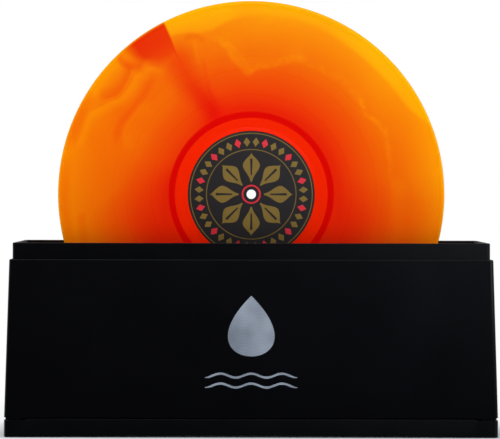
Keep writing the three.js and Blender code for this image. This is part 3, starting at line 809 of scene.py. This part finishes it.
def make_smooth_plastic(name, dark, light, roughness, soft=0.0):
    """Unfilled plastic, such as nylon or acetal, with faint flow marks."""
    material, tree, shader, place = new_finish(name)
    surface = use_effect(tree, moulded_grain, {"Place": place, "Grain": 900.0, "Marks": 90.0})
    flow = ease(tree, surface["Gloss"], 0.3, 0.7)
    set_inputs(tree, shader, {
        "Base Color": blend_colours(tree, flow, display(*dark), display(*light)),
        "Roughness": ease(tree, surface["Gloss"], 0.3, 0.7, roughness - 0.06, roughness + 0.06),
        "Normal": bumped(tree, surface["Height"], 0.01 * MM),
        "Subsurface Weight": soft,
        "Subsurface Scale": 1.5 * MM,
    })
    return material


def make_turned_steel():
    """Steel with the fine lines of the lathe and a few dull spots."""
    material, tree, shader, place = new_finish("turned_steel")
    lines = put(tree, "Mapping", {"Vector": place, "Scale": (40.0, 2600.0, 40.0)}).outputs["Vector"]
    cut = noise(tree, lines, 1.0, 2.0, 0.6)
    spots = noise(tree, place, 260.0, 3.0, 0.6)
    set_inputs(tree, shader, {
        "Base Color": blend_colours(tree, ease(tree, spots, 0.4, 0.7), display(188, 190, 194),
                                    display(160, 160, 162)),
        "Metallic": 1.0,
        "Roughness": calc(tree, "ADD", ease(tree, cut, 0.3, 0.7, 0.2, 0.34),
                          ease(tree, spots, 0.5, 0.75, 0.0, 0.15)),
        "Normal": bumped(tree, cut, 0.006 * MM, 0.6),
    })
    return material


def make_velvet():
    """Pale grey velvet: lighter where the pile lies over, with tufts of a fraction of a millimetre."""
    material, tree, shader, place = new_finish("pale_velvet")
    tufts = noise(tree, place, 1500.0, 3.0, 0.7)
    lay = noise(tree, place, 70.0, 3.0, 0.6, 0.8)
    tone = calc(tree, "ADD", calc(tree, "MULTIPLY", tufts, 0.55), calc(tree, "MULTIPLY", lay, 0.45))
    set_inputs(tree, shader, {
        "Base Color": colour_run(tree, tone, [
            (0.30, display(150, 154, 158)), (0.5, display(196, 200, 203)), (0.7, display(222, 224, 225)),
        ]),
        "Roughness": ease(tree, tufts, 0.3, 0.7, 0.85, 0.97),
        "Normal": bumped(tree, tufts, 0.15 * MM, 0.8),
        "Specular IOR Level": 0.2,
        "Sheen Weight": 0.5,
        "Sheen Roughness": 0.4,
    })
    return material


casing_black = make_black_plastic("casing_black", (4, 4, 7), 0.42, 1500.0, 0.02 * MM)
bath_black = make_black_plastic("bath_black", (3, 3, 5), 0.52, 2200.0, 0.015 * MM, marks=22.0)
tray_black = make_black_plastic("tray_black", (3, 4, 6), 0.44, 1500.0, 0.02 * MM, marks=18.0)
marbled_vinyl = make_vinyl()
printed_label = make_label_paper()
silver_print = make_silver_print()
brush_black = make_black_plastic("brush_black", (17, 18, 20), 0.46, 1600.0, 0.02 * MM, marks=40.0, dust=0.2)
dull_rubber = make_rubber("dull_rubber", (11, 11, 12), (17, 17, 18), 1400.0, 0.05 * MM)
soft_rubber = make_rubber("soft_rubber", (34, 34, 36), (46, 46, 48), 1800.0, 0.03 * MM)
grey_nylon = make_smooth_plastic("grey_nylon", (128, 131, 135), (144, 147, 150), 0.45)
white_acetal = make_smooth_plastic("white_acetal", (214, 211, 198), (226, 224, 214), 0.4, 0.15)
turned_steel = make_turned_steel()
pale_velvet = make_velvet()


# Pieces

def make_record():
    """Record with a rounded bead at its edge, a flat groove area and a raised hub."""
    hub = label_radius + 1.2 * MM
    groove_half = 0.7 * MM
    bead_half = 0.9 * MM
    side = [
        (spindle_hole_radius, record_hub_half),
        (hub - 0.8 * MM, record_hub_half),
        (hub - 0.4 * MM, record_hub_half),
        (hub, record_hub_half - 0.04 * MM),
        (hub + 1.5 * MM, groove_half + 0.04 * MM),
        (hub + 1.9 * MM, groove_half),
        (hub + 2.3 * MM, groove_half),
        (record_radius - 4.6 * MM, groove_half),
        (record_radius - 4.2 * MM, groove_half),
        (record_radius - 3.0 * MM, bead_half),
        (record_radius - 0.9 * MM, bead_half),
        (record_radius - 0.25 * MM, 0.6 * bead_half),
        (record_radius, 0.0),
    ]
    other = [(radius, -along) for radius, along in reversed(side[:-1])]
    profile = side + other + side[:1]
    record = add_turned("record", profile, record_centre, (0, 1, 0), 256)
    return dress(record, marbled_vinyl, "record", "vinyl", "record_disc", smooth=40)


def make_labels():
    """Paper labels with a softly pressed edge."""
    near = -record_hub_half
    far = near - label_thickness
    edge = 0.12 * MM
    profile = [
        (spindle_hole_radius, near),
        (spindle_hole_radius, far),
        (label_radius - 2 * edge, far),
        (label_radius - edge / 2, far + edge),
        (label_radius, near),
        (spindle_hole_radius, near),
    ]
    paper = add_turned("label_paper", profile, record_centre, (0, 1, 0), 192)
    for name, label in repeat(paper, FACES).items():
        dress(label, printed_label, "record", "label_paper", "label_" + name, smooth=60)


def make_casing():
    """Tapered sleeve with rounded corners and an eased shoulder."""
    casing = add_block("casing_shell", casing_low, casing_high)
    middle = (casing_low + casing_high) / 2
    with editing(casing):
        faces_towards(casing, (0, 0, 1))
        widen(middle, casing_top_half_x / casing_high.x, casing_top_half_y / casing_high.y)
        upright_edges(casing)
        bpy.ops.mesh.bevel(offset=casing_corner, segments=8, affect="EDGES")
        pick(casing, "FACE", lambda face: abs(face.normal.z) > 0.9)
        bpy.ops.mesh.delete(type="ONLY_FACE")
    apply_modifier(casing, "SOLIDIFY", thickness=casing_wall, offset=-1, use_even_offset=True)
    outer_x = casing_top_half_x - casing_wall / 2
    outer_y = casing_top_half_y - casing_wall / 2

    def on_shoulder(edge):
        middle = edge_middle(edge)
        level = abs(edge_direction(edge).z) < 0.1 and middle.z > casing_high.z - 0.5 * MM
        return level and is_sharp(edge) and (abs(middle.x) > outer_x or abs(middle.y) > outer_y)

    with editing(casing):
        pick(casing, "EDGE", on_shoulder)
        bpy.ops.mesh.bevel(offset=0.8 * MM, segments=3, affect="EDGES")
        pick(casing, "EDGE", lambda edge: is_sharp(edge, math.radians(50)))
        bpy.ops.mesh.bevel(offset=0.3 * MM, segments=2, affect="EDGES")
    for block in (add_screw_lug(), add_foot_block()):
        for copy in repeat(block, CORNERS).values():
            join_solid(casing, copy)
    return dress(casing, casing_black, "housing", "casing_plastic", "casing")


def corner_block(name, outer, size, bottom, top):
    """Square block that runs inwards from an outer point at the front left."""
    return add_block(name, (-outer[0], -outer[1], bottom), (size - outer[0], size - outer[1], top))


def boss_place():
    """Place of the boss and its screw at the front left."""
    return boss_inset - collar_high.x, boss_inset - collar_high.y


def add_screw_lug():
    """Lug under the deck with a hole for a screw."""
    outer = (casing_top_half_x, casing_top_half_y)
    lug = corner_block("lug", outer, 22 * MM, lug_top - lug_thickness, lug_top)
    hole = add_rod("lug_hole", (*boss_place(), lug_top), "Z", screw_shank_radius + seat_gap, 30 * MM)
    join_solid(lug, hole, "DIFFERENCE")
    return lug


def add_foot_block():
    outer = (casing_high.x - casing_wall / 2, casing_high.y - casing_wall / 2)
    block = corner_block("foot_block", outer, 20 * MM, casing_low.z, casing_low.z + 8 * MM)
    ease_edges(block, 0.4 * MM)
    return block


def trough_floor(x):
    """Height of the trough's round floor, which follows the record's edge."""
    radius = record_radius + trough_clearance
    return record_centre.z - math.sqrt(radius**2 - x**2)


def make_bath():
    """Bath: a collar, a deck that falls to the mouth, and a trough with a round floor and roller pockets."""
    inside_x = collar_high.x - collar_wall
    inside_y = collar_high.y - collar_wall
    deck_edge = deck_height + deck_rise
    flare_bottom = deck_height - flare_height
    pocket_floor = roller_place.z - tyre_radius - pocket_clearance
    bath = add_block("bath_moulding", (-inside_x, -inside_y, deck_edge), (inside_x, inside_y, rim_height))
    with editing(bath):
        faces_towards(bath, (0, 0, 1))
        bpy.ops.mesh.delete(type="ONLY_FACE")
        faces_towards(bath, (0, 0, -1))
        extrude(z=-deck_rise)
        widen((0, 0, deck_height), mouth_reach / inside_x, trough_half / inside_y)
        extrude(z=-flare_height)
        widen((0, 0, flare_bottom), pocket_reach / mouth_reach)
        extrude(z=pocket_floor - flare_bottom)

        # Floor, cut into strips that are let down to the round shape
        strips = 20
        reach = [trough_arc_reach * (2 * step / strips - 1) for step in range(strips + 1)]
        for x in reach:
            faces_towards(bath, (0, 0, -1), lambda centre: centre.z < pocket_floor + 0.1 * MM)
            bpy.ops.mesh.bisect(plane_co=(x, 0, 0), plane_no=(1, 0, 0))
        for x in reach:
            pick(bath, "VERT",
                 lambda vert: vert.co.z < pocket_floor + 0.1 * MM and abs(vert.co.x - x) < 0.1 * MM)
            push(z=trough_floor(x) - pocket_floor)

        upright_edges(bath, lambda middle: middle.z > deck_edge)
        bpy.ops.mesh.bevel(offset=collar_corner, segments=3, affect="EDGES")
        pick(bath, "EDGE", lambda edge: all(abs(v.co.z - deck_height) < 0.1 * MM for v in edge.verts))
        bpy.ops.mesh.bevel(offset=1.2 * MM, segments=3, affect="EDGES")
    apply_modifier(bath, "SOLIDIFY", thickness=collar_wall, offset=1, use_even_offset=True)
    with editing(bath):
        pick(bath, "EDGE", lambda edge: edge_middle(edge).z > rim_height - 0.1 * MM and is_sharp(edge))
        bpy.ops.mesh.bevel(offset=0.5 * MM, segments=3, affect="EDGES")
        faces_towards(bath, (0, 0, -1), lambda centre: centre.z > flare_bottom + collar_wall, sharpness=0.9)
        bpy.ops.mesh.inset(thickness=collar_wall)
        edge_x = collar_high.x - collar_wall
        edge_y = collar_high.y - collar_wall
        faces_towards(bath, (0, 0, -1), lambda centre: abs(centre.x) > edge_x or abs(centre.y) > edge_y,
                      sharpness=0.9)
        extrude(z=-skirt_drop)
    for part, places in ((add_boss(), CORNERS), (add_bracket(), BEARINGS), (add_guide(), FACES)):
        for copy in repeat(part, places).values():
            join_solid(bath, copy)
    return dress(bath, bath_black, "housing", "bath_plastic", "bath")


def add_boss():
    """Round boss under the deck that a screw bites into."""
    length = deck_height - collar_wall - lug_top
    boss = add_rod("boss", (*boss_place(), lug_top + length / 2), "Z", 5.5 * MM, length)
    pilot = add_rod("pilot", (*boss_place(), lug_top), "Z", screw_shank_radius, 2 * (length - 2 * MM))
    join_solid(boss, pilot, "DIFFERENCE")
    return boss


def add_bracket():
    """Bracket on the trough's front wall, open above for the bush to drop in."""
    x, z = -roller_place.x, roller_place.z
    far, near = -trough_half - 1 * MM, bracket_depth - trough_half
    bracket = add_block("bracket", (x - 8 * MM, far, z - 10 * MM), (x + 8 * MM, near, z + 16 * MM))
    ease_edges(bracket, 0.8 * MM, 3)
    slot_half = 4.5 * MM
    inward = near + bracket_depth
    seat = add_rod("seat", (x, (inward - trough_half) / 2, z), "Y", slot_half, inward + trough_half, 48)
    join_solid(bracket, seat, "DIFFERENCE")
    slot = add_block("slot", (x - slot_half, -trough_half, z), (x + slot_half, inward, z + 20 * MM))
    join_solid(bracket, slot, "DIFFERENCE")
    return bracket


def add_guide():
    """Channel with lips, closed below by a shelf, that holds the plate of the front brush."""
    shelf_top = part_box("brush_holder_front")[0].z - seat_gap
    rail_top = deck_height - 8 * MM
    plate_face = seat_gap + brush_plate_thickness - trough_half
    lip_face = plate_face + seat_gap
    inner = brush_plate_half + seat_gap
    outer = inner + 3 * MM
    mouth = brush_plate_half - 2.8 * MM
    guide = add_block("guide", (-outer, -trough_half - 1 * MM, shelf_top - 3.5 * MM),
                      (outer, lip_face + 2 * MM, rail_top))
    ease_edges(guide, 0.4 * MM)
    over = rail_top + 1 * MM
    slot = add_block("slot", (-inner, -trough_half - 3 * MM, shelf_top), (inner, lip_face, over))
    join_solid(guide, slot, "DIFFERENCE")
    opening = add_block("mouth", (-mouth, plate_face, shelf_top), (mouth, lip_face + 4 * MM, over))
    join_solid(guide, opening, "DIFFERENCE")
    return guide


def lay_on_front(piece, height):
    """Lays a flat upright piece on the sloping front, and puts its place into its mesh."""
    slope = math.atan2(casing_high.y - casing_top_half_y, casing_high.z - casing_low.z)
    face = casing_high.y - (height - casing_low.z) * math.tan(slope)
    make_active(piece)
    piece.rotation_euler = (-slope, 0, 0)
    piece.location = (0, -face, height)
    bpy.ops.object.transform_apply(location=True, rotation=True, scale=True)


def add_wave(length, height, swing):
    """Strip that swings three times."""
    deselect_objects()
    bpy.ops.mesh.primitive_grid_add(
        x_subdivisions=120, y_subdivisions=1, size=1, rotation=(math.pi / 2, 0, 0))
    bpy.context.object.scale = (length, height, 1)
    wave = settle("wave")
    for vertex in wave.data.vertices:
        turns = 3 * vertex.co.x / length
        taper = min(1.0, 12 * (0.5 - abs(vertex.co.x) / length) + 0.25)
        vertex.co.z = vertex.co.z * taper + swing * math.cos(math.tau * turns)
    return wave


def make_front_print():
    """Symbol for washing, printed in silver: a drop over two waves."""
    half = 23 * MM
    deselect_objects()
    bpy.ops.mesh.primitive_circle_add(
        vertices=128, radius=half, fill_type="NGON", rotation=(math.pi / 2, 0, 0))
    drop = settle("front_print")
    for vertex in drop.data.vertices:
        vertex.co.x *= math.sqrt(max(0.0, (1 - vertex.co.z / half) / 2))

    def round_the_middle(face):
        neighbours = [other for edge in face.edges for other in edge.link_faces]
        return len(face.verts) == 4 and any(len(other.verts) > 4 for other in neighbours)

    with editing(drop):
        bpy.ops.mesh.select_all(action="SELECT")
        bpy.ops.mesh.remove_doubles(threshold=0.4 * MM)
        bpy.ops.mesh.select_mode(type="FACE")
        bpy.ops.mesh.select_all(action="SELECT")
        for share in (0.925, 0.94):
            extrude()
            widen((0, 0, -0.12 * half), share, 1.0, share)
        pick(drop, "FACE", round_the_middle)
        bpy.ops.mesh.delete(type="FACE")
    lay_on_front(drop, 84.5 * MM)
    wave = add_wave(70 * MM, 1.7 * MM, 1.5 * MM)
    for level, strip in ((47 * MM, copied(wave, middle_of(wave))), (39.5 * MM, wave)):
        lay_on_front(strip, level)
        make_active(drop)
        strip.select_set(True)
        bpy.ops.object.join()
    apply_modifier(drop, "SOLIDIFY", thickness=0.06 * MM, offset=0.9)
    return dress(drop, silver_print, "housing", "casing_plastic")


def make_tray():
    """Drip tray with a skirt that arches a little between its ends."""
    tray = add_block("drip_tray", tray_low, tray_high)
    wall = 2.9 * MM
    with editing(tray):
        upright_edges(tray)
        bpy.ops.mesh.bevel(offset=casing_corner, segments=8, affect="EDGES")
        faces_towards(tray, (0, 0, 1))
        bpy.ops.mesh.inset(thickness=wall)
        extrude(z=-9.0 * MM)
        faces_towards(tray, (0, 0, -1))
        bpy.ops.mesh.inset(thickness=wall)
        extrude(z=2.0 * MM)
    with editing(tray):
        pick(tray, "EDGE", lambda edge: edge_middle(edge).z > tray_high.z - 0.1 * MM and is_sharp(edge))
        bpy.ops.mesh.bevel(offset=0.6 * MM, segments=3, affect="EDGES")
    outer = (tray_high.x - wall / 2, tray_high.y - wall / 2)
    post = corner_block("post", outer, 21 * MM, 4 * MM, tray_recess_floor)
    outer = (tray_high.x + 2 * MM, tray_high.y + 2 * MM)
    recess = corner_block("recess", outer, 18.2 * MM, tray_recess_floor, tray_high.z + 2 * MM)
    for block, operation in ((post, "UNION"), (recess, "DIFFERENCE")):
        for copy in repeat(block, CORNERS).values():
            join_solid(tray, copy, operation)
    arch_half = tray_high.x - 17.3 * MM
    arch_rise = 0.9 * MM
    columns = [arch_half * (2 * step / 16 - 1) for step in range(17)]
    with editing(tray):
        for x in columns:
            bpy.ops.mesh.select_all(action="SELECT")
            bpy.ops.mesh.bisect(plane_co=(x, 0, 0), plane_no=(1, 0, 0))
        for x in columns:
            lowest = tray_low.z + 0.05 * MM
            pick(tray, "VERT", lambda vert: vert.co.z < lowest and abs(vert.co.x - x) < 0.02 * MM)
            push(z=arch_rise * (1 - (x / arch_half) ** 2))
    return dress(tray, tray_black, "tray", "tray_plastic", "base_tray")


def left_roller():
    """Middle of the roller on the left."""
    return -roller_place.x, 0, roller_place.z


def make_tyres():
    """Rubber tyres with a groove that the record's edge stands in."""
    bore, groove_floor, groove_half, mouth_half = 6.3 * MM, 9.7 * MM, 1.2 * MM, 3.6 * MM
    profile = [
        (bore, -tyre_half), (tyre_radius, -tyre_half), (tyre_radius, -mouth_half),
        (groove_floor, -groove_half), (groove_floor, groove_half), (tyre_radius, mouth_half),
        (tyre_radius, tyre_half), (bore, tyre_half),
        (bore, -tyre_half),
    ]
    tyre = add_turned("tyre", profile, left_roller(), (0, 1, 0), 96)
    ease_edges(tyre, 0.5 * MM, 3)
    for name, copy in repeat(tyre, SIDES).items():
        dress(copy, soft_rubber, "roller_" + name, "tyre_rubber", "roller_tyre_" + name, smooth=40)


def make_cores():
    """Spools with a flange at each end, which the tyres are stretched over."""
    bore, neck, flange, half, thick = 2.3 * MM, 6.0 * MM, 8.5 * MM, 20 * MM, 1.6 * MM
    profile = [
        (bore, -half), (flange, -half), (flange, thick - half), (neck, thick - half), (neck, half - thick),
        (flange, half - thick), (flange, half), (neck, half), (neck - 1 * MM, half - 1.5 * MM),
        (bore + 1.2 * MM, half - 1.5 * MM), (bore + 1.2 * MM, half), (bore, half), (bore, -half),
    ]
    core = add_turned("spool", profile, left_roller(), (0, 1, 0), 64)
    ease_edges(core, 0.25 * MM)
    for name, copy in repeat(core, SIDES).items():
        dress(copy, grey_nylon, "roller_" + name, "roller_plastic", "roller_core_" + name, smooth=40)


def make_axles():
    """Steel axles with chamfered ends."""
    radius, half = 2.0 * MM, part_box("roller_axle_left")[1].y
    chamfer = 0.5 * MM
    profile = [
        (0, -half), (radius - chamfer, -half), (radius, chamfer - half), (radius, half - chamfer),
        (radius - chamfer, half), (0, half),
    ]
    axle = add_turned("axle", profile, left_roller(), (0, 1, 0), 48)
    for name, copy in repeat(axle, SIDES).items():
        dress(copy, turned_steel, "roller_" + name, "steel", "roller_axle_" + name)


def make_bushes():
    """White plain bearings with their flanges towards the rollers."""
    bore, barrel, flange = 2.3 * MM, 4.2 * MM, 6.0 * MM
    near = trough_half - bracket_depth - seat_gap
    far = trough_half - seat_gap
    profile = [
        (bore, near - bush_flange), (flange, near - bush_flange), (flange, near), (barrel, near),
        (barrel, far), (bore, far), (bore, near - bush_flange),
    ]
    bush = add_turned("bush", profile, left_roller(), (0, -1, 0), 48)
    ease_edges(bush, 0.2 * MM)
    for name, copy in repeat(bush, BEARINGS).items():
        dress(copy, white_acetal, "housing", "bush_plastic", "axle_bush_" + name, smooth=40)


def make_screws():
    """Pan-head screws with a cross recess, their heads under the lugs."""
    head, height, length = 3.5 * MM, 2.2 * MM, 15 * MM
    profile = [
        (0, -height), (0.55 * head, -height), (0.86 * head, -0.8 * height), (head, -0.4 * height), (head, 0),
        (screw_shank_radius, 0), (screw_shank_radius, length - 2 * MM), (0, length),
    ]
    x, y = boss_place()
    seat = lug_top - lug_thickness
    screw = add_turned("screw", profile, (x, y, seat), (0, 0, 1), 40)
    arm = add_block("cross", (x - 2.1 * MM, y - 0.4 * MM, seat - height - 1 * MM),
                    (x + 2.1 * MM, y + 0.4 * MM, seat - height + 1.2 * MM))
    for slot in (copied(arm, middle_of(arm), math.pi / 2), arm):
        join_solid(screw, slot, "DIFFERENCE")
    for name, copy in repeat(screw, CORNERS).items():
        dress(copy, turned_steel, "housing", "steel", "bath_screw_" + name)


def make_brush_holders():
    """Brush holders: a plate for the guide, a web, a back for the pad and a grip with finger ridges."""
    low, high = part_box("brush_holder_front")
    pad_low, pad_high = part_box("brush_pad_front")
    plate_far = seat_gap - trough_half
    plate_near = plate_far + brush_plate_thickness
    back_near = pad_low.y - seat_gap

    def part(title, half, far, near, bottom, top, easing=0.5):
        block = add_block(title, (-half, far, bottom), (half, near, top))
        ease_edges(block, easing * MM, 3)
        return block

    top = high.z - 0.6 * MM
    grip_bottom = high.z - 3 * MM
    web_bottom, web_top = pad_low.z + 4 * MM, pad_high.z - 4 * MM
    holder = part("brush_holder_shell", brush_plate_half, plate_far, plate_near, low.z, top)
    join_solid(holder, part("web", 4 * MM, plate_near - 1 * MM, back_near - 2 * MM, web_bottom, web_top))
    pad_back = part("pad_back", pad_high.x, back_near - 3 * MM, back_near, pad_low.z, pad_high.z, 0.8)
    join_solid(holder, pad_back)
    join_solid(holder, part("grip", high.x, low.y, plate_near + 0.01 * MM, grip_bottom, top, 1.0))
    near = plate_far - 2.2 * MM
    ridge = part("ridge", high.x - 4 * MM, near - 1.2 * MM, near, top - 1 * MM, high.z, 0.4)
    for step in (3, 2, 1):
        join_solid(holder, copied(ridge, middle_of(ridge) - Vector((0, 2.8 * step * MM, 0))))
    join_solid(holder, ridge)
    for name, copy in repeat(holder, FACES).items():
        dress(copy, brush_black, "brush_" + name, "brush_plastic", "brush_holder_" + name)


def make_brush_pads():
    """Velvet pads: a crowned foam strip with rounded corners under a short pile."""
    low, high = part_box("brush_pad_front")
    middle = (low + high) / 2
    crown = 0.8 * MM
    pad = add_block("velvet_pad", low, high)
    with editing(pad):
        pick(pad, "EDGE", lambda edge: abs(edge_direction(edge).y) > 0.9)
        bpy.ops.mesh.bevel(offset=4 * MM, segments=6, affect="EDGES")
    ease_edges(pad, 1.4 * MM, 4, angle=50)
    apply_modifier(pad, "REMESH", mode="VOXEL", voxel_size=0.9 * MM)
    apply_modifier(pad, "SMOOTH", factor=0.5, iterations=4)
    for vertex in pad.data.vertices:
        out = abs((vertex.co.x - middle.x) / (high.x - middle.x))
        along = abs((vertex.co.z - middle.z) / (high.z - middle.z))
        depth = (vertex.co.y - low.y) / (high.y - low.y)
        fall = min(1.0, 0.6 * out**2.5 + 0.6 * along**6)
        vertex.co.y -= crown * fall * max(0.0, depth)
    apply_modifier(pad, "SUBSURF", levels=1, render_levels=1)
    pile = bpy.data.textures.new("pile", "CLOUDS")
    pile.noise_scale = 0.9 * MM
    pile.noise_depth = 1
    apply_modifier(pad, "DISPLACE", texture=pile, texture_coords="LOCAL", strength=0.35 * MM, mid_level=1.0)
    for name, copy in repeat(pad, FACES).items():
        dress(copy, pale_velvet, "brush_" + name, "brush_pile", "brush_pad_" + name, smooth=180)


def make_tray_feet():
    """Round rubber pads with a shallow ring under them."""
    low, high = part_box("tray_foot_front_left")
    centre = ((low.x + high.x) / 2, (low.y + high.y) / 2, low.z)
    radius, height = (high.x - low.x) / 2, high.z - low.z
    profile = [
        (0, 0), (4.6 * MM, 0), (5.1 * MM, 0.5 * MM), (6.0 * MM, 0.5 * MM), (6.5 * MM, 0), (radius, 0),
        (radius, height), (0, height),
    ]
    foot = add_turned("tray_pad", profile, centre, (0, 0, 1), 64)
    ease_edges(foot, 0.3 * MM, 3)
    for name, copy in repeat(foot, CORNERS).items():
        dress(copy, dull_rubber, "tray", "foot_rubber", "tray_foot_" + name, smooth=40)


def make_casing_feet():
    """Rubber pads under the casing: a thin plate with a smaller block that stands back in shadow."""
    low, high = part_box("casing_foot_front_left")
    plate = 0.5 * MM
    foot = add_block("casing_pad", (low.x, low.y, high.z - plate), high)
    with editing(foot):
        upright_edges(foot)
        bpy.ops.mesh.bevel(offset=2 * MM, segments=5, affect="EDGES")
        faces_towards(foot, (0, 0, -1))
        extrude()
        widen((low + high) / 2, 0.57, 0.57)
        extrude(z=low.z - high.z + plate)
    ease_edges(foot, 0.2 * MM)
    for name, copy in repeat(foot, CORNERS).items():
        dress(copy, dull_rubber, "housing", "foot_rubber", "casing_foot_" + name, smooth=40)


make_record()
make_labels()
make_casing()
make_front_print()
make_bath()
make_bushes()
make_screws()
make_tyres()
make_cores()
make_axles()
make_brush_holders()
make_brush_pads()
make_casing_feet()
make_tray()
make_tray_feet()


# Setting: floor, world, lamps and camera

FLOOR_HALF = 0.9
FLOOR_FRONT = 0.75
FLOOR_BACK = 2.4


def make_floor():
    """Plain pale floor that keeps the shadow near the machine and runs out to the white of the backdrop."""
    deselect_objects()
    bpy.ops.mesh.primitive_plane_add(size=1, location=(0, (FLOOR_BACK - FLOOR_FRONT) / 2, 0))
    bpy.context.object.scale = (2 * FLOOR_HALF, FLOOR_BACK + FLOOR_FRONT, 1)
    floor = settle("floor")
    material, tree, shader, place = new_finish("pale_floor")
    parts = put(tree, "SeparateXYZ", {0: place}).outputs
    gap_x = calc(tree, "SUBTRACT", calc(tree, "ABSOLUTE", parts["X"]), tray_high.x)
    gap_x = calc(tree, "POWER", calc(tree, "MAXIMUM", gap_x, 0.0), 2.0)
    gap_y = calc(tree, "SUBTRACT", calc(tree, "ABSOLUTE", parts["Y"]), tray_high.y)
    gap_y = calc(tree, "POWER", calc(tree, "MAXIMUM", gap_y, 0.0), 2.0)
    away = calc(tree, "SQRT", calc(tree, "ADD", gap_x, gap_y))
    out = calc(tree, "ADD", ease(tree, away, 0.0, 0.02, 0.0, 0.72), ease(tree, away, 0.0, 0.40, 0.0, 0.28))
    paths = put(tree, "LightPath").outputs
    seen = calc(tree, "MAXIMUM", paths["Is Camera Ray"], paths["Is Transmission Ray"])
    weave = noise(tree, place, 300.0, 3.0)
    set_inputs(tree, shader, {
        "Base Color": blend_colours(tree, weave, display(236, 239, 246), display(240, 243, 249)),
        "Roughness": 0.7,
        "Specular IOR Level": 0.2,
    })
    white = put(tree, "Emission", {"Color": (1, 1, 1, 1), "Strength": 1.0}).outputs[0]
    mixed = put(tree, "MixShader", {0: calc(tree, "MULTIPLY", out, seen), 1: shader.outputs[0], 2: white})
    tree.links.new(mixed.outputs[0], tree.nodes["Material Output"].inputs["Surface"])
    floor.data.materials.append(material)
    floor.visible_glossy = False


def make_world():
    """White where it is seen, an even level of light, and a dark room in front for what the gloss shows."""
    world = bpy.data.worlds.new("studio")
    bpy.context.scene.world = world
    world.use_nodes = True
    world.cycles.sampling_method = "NONE"
    tree = world.node_tree
    tree.nodes.clear()
    paths = put(tree, "LightPath").outputs
    direction = put(tree, "TexCoord").outputs["Generated"]
    parts = put(tree, "SeparateXYZ", {0: direction}).outputs
    behind = ease(tree, parts["Y"], -0.25, 0.45, 0.015, 0.6)
    above = ease(tree, parts["Z"], 0.55, 0.95, 0.0, 0.35)
    shown = calc(tree, "MAXIMUM", behind, above)
    level = ease(tree, parts["Y"], -0.96, -0.72, 0.03, 0.36)
    camera_or_glass = calc(tree, "MAXIMUM", paths["Is Camera Ray"], paths["Is Transmission Ray"])
    glossy = calc(tree, "MULTIPLY", paths["Is Glossy Ray"], shown)
    diffuse = calc(tree, "SUBTRACT", 1.0, calc(tree, "MAXIMUM", camera_or_glass, paths["Is Glossy Ray"]))
    seen = calc(tree, "MAXIMUM", camera_or_glass, glossy)
    strength = calc(tree, "ADD", calc(tree, "MULTIPLY", diffuse, level), seen)
    background = put(tree, "Background", {"Color": (1, 1, 1, 1), "Strength": strength})
    output = put(tree, "OutputWorld")
    tree.links.new(background.outputs[0], output.inputs["Surface"])


def add_softbox(name, place, aim, size, power, shows_in_gloss=True, tint=(1, 1, 1)):
    """Soft lamp of a width and a height that faces a point."""
    deselect_objects()
    bpy.ops.object.light_add(type="AREA", location=place)
    lamp = bpy.context.object
    lamp.name = name
    lamp.rotation_euler = (Vector(aim) - Vector(place)).to_track_quat("-Z", "Y").to_euler()
    lamp.data.shape = "RECTANGLE"
    lamp.data.size, lamp.data.size_y = size
    lamp.data.energy = power
    lamp.data.color = tint
    lamp.visible_camera = False
    lamp.visible_glossy = shows_in_gloss


def make_camera():
    """Camera level with the record, a little over two metres in front."""
    distance = 2.316
    eye_height = 0.1873
    aim = Vector((-0.0010, 0, 0.1646))
    roll = math.radians(0.12)
    place = Vector((-0.007, -distance, eye_height))
    deselect_objects()
    bpy.ops.object.camera_add(location=place)
    camera = bpy.context.object
    camera.name = "camera"
    camera.rotation_euler = (aim - place).to_track_quat("-Z", "Y").to_euler()
    camera.rotation_euler.y -= roll
    camera.data.lens = 213.6
    camera.data.clip_start = 0.01
    camera.data.clip_end = 100
    bpy.context.scene.camera = camera


make_floor()
make_world()
add_softbox("key_right", (1.3, -1.2, 0.72), (0, 0, 0.16), (0.9, 0.9), 9.0, tint=(0.78, 0.88, 1.0))
add_softbox("fill_left", (-1.3, -1.2, 0.7), (0, 0, 0.18), (0.9, 0.9), 6.0, shows_in_gloss=False)
add_softbox("front", (0.2, -1.7, 0.9), (0, 0, 0.2), (0.9, 0.9), 6.0, shows_in_gloss=False)
for side, x in (("left", -0.65), ("right", 0.65)):
    add_softbox("low_" + side, (x, -0.75, 0.076), (0, 0, 0.076), (0.4, 0.146), 1.7, shows_in_gloss=False)
add_softbox("back", (-0.3, 1.7, 1.0), (0, 0, 0.2), (0.9, 0.9), 12.0, shows_in_gloss=False)
add_softbox("top", (0, 0.2, 1.6), (0, 0, 0.1), (1.2, 1.2), 6.0)
make_camera()
bpy.context.scene.view_settings.view_transform = "Standard"
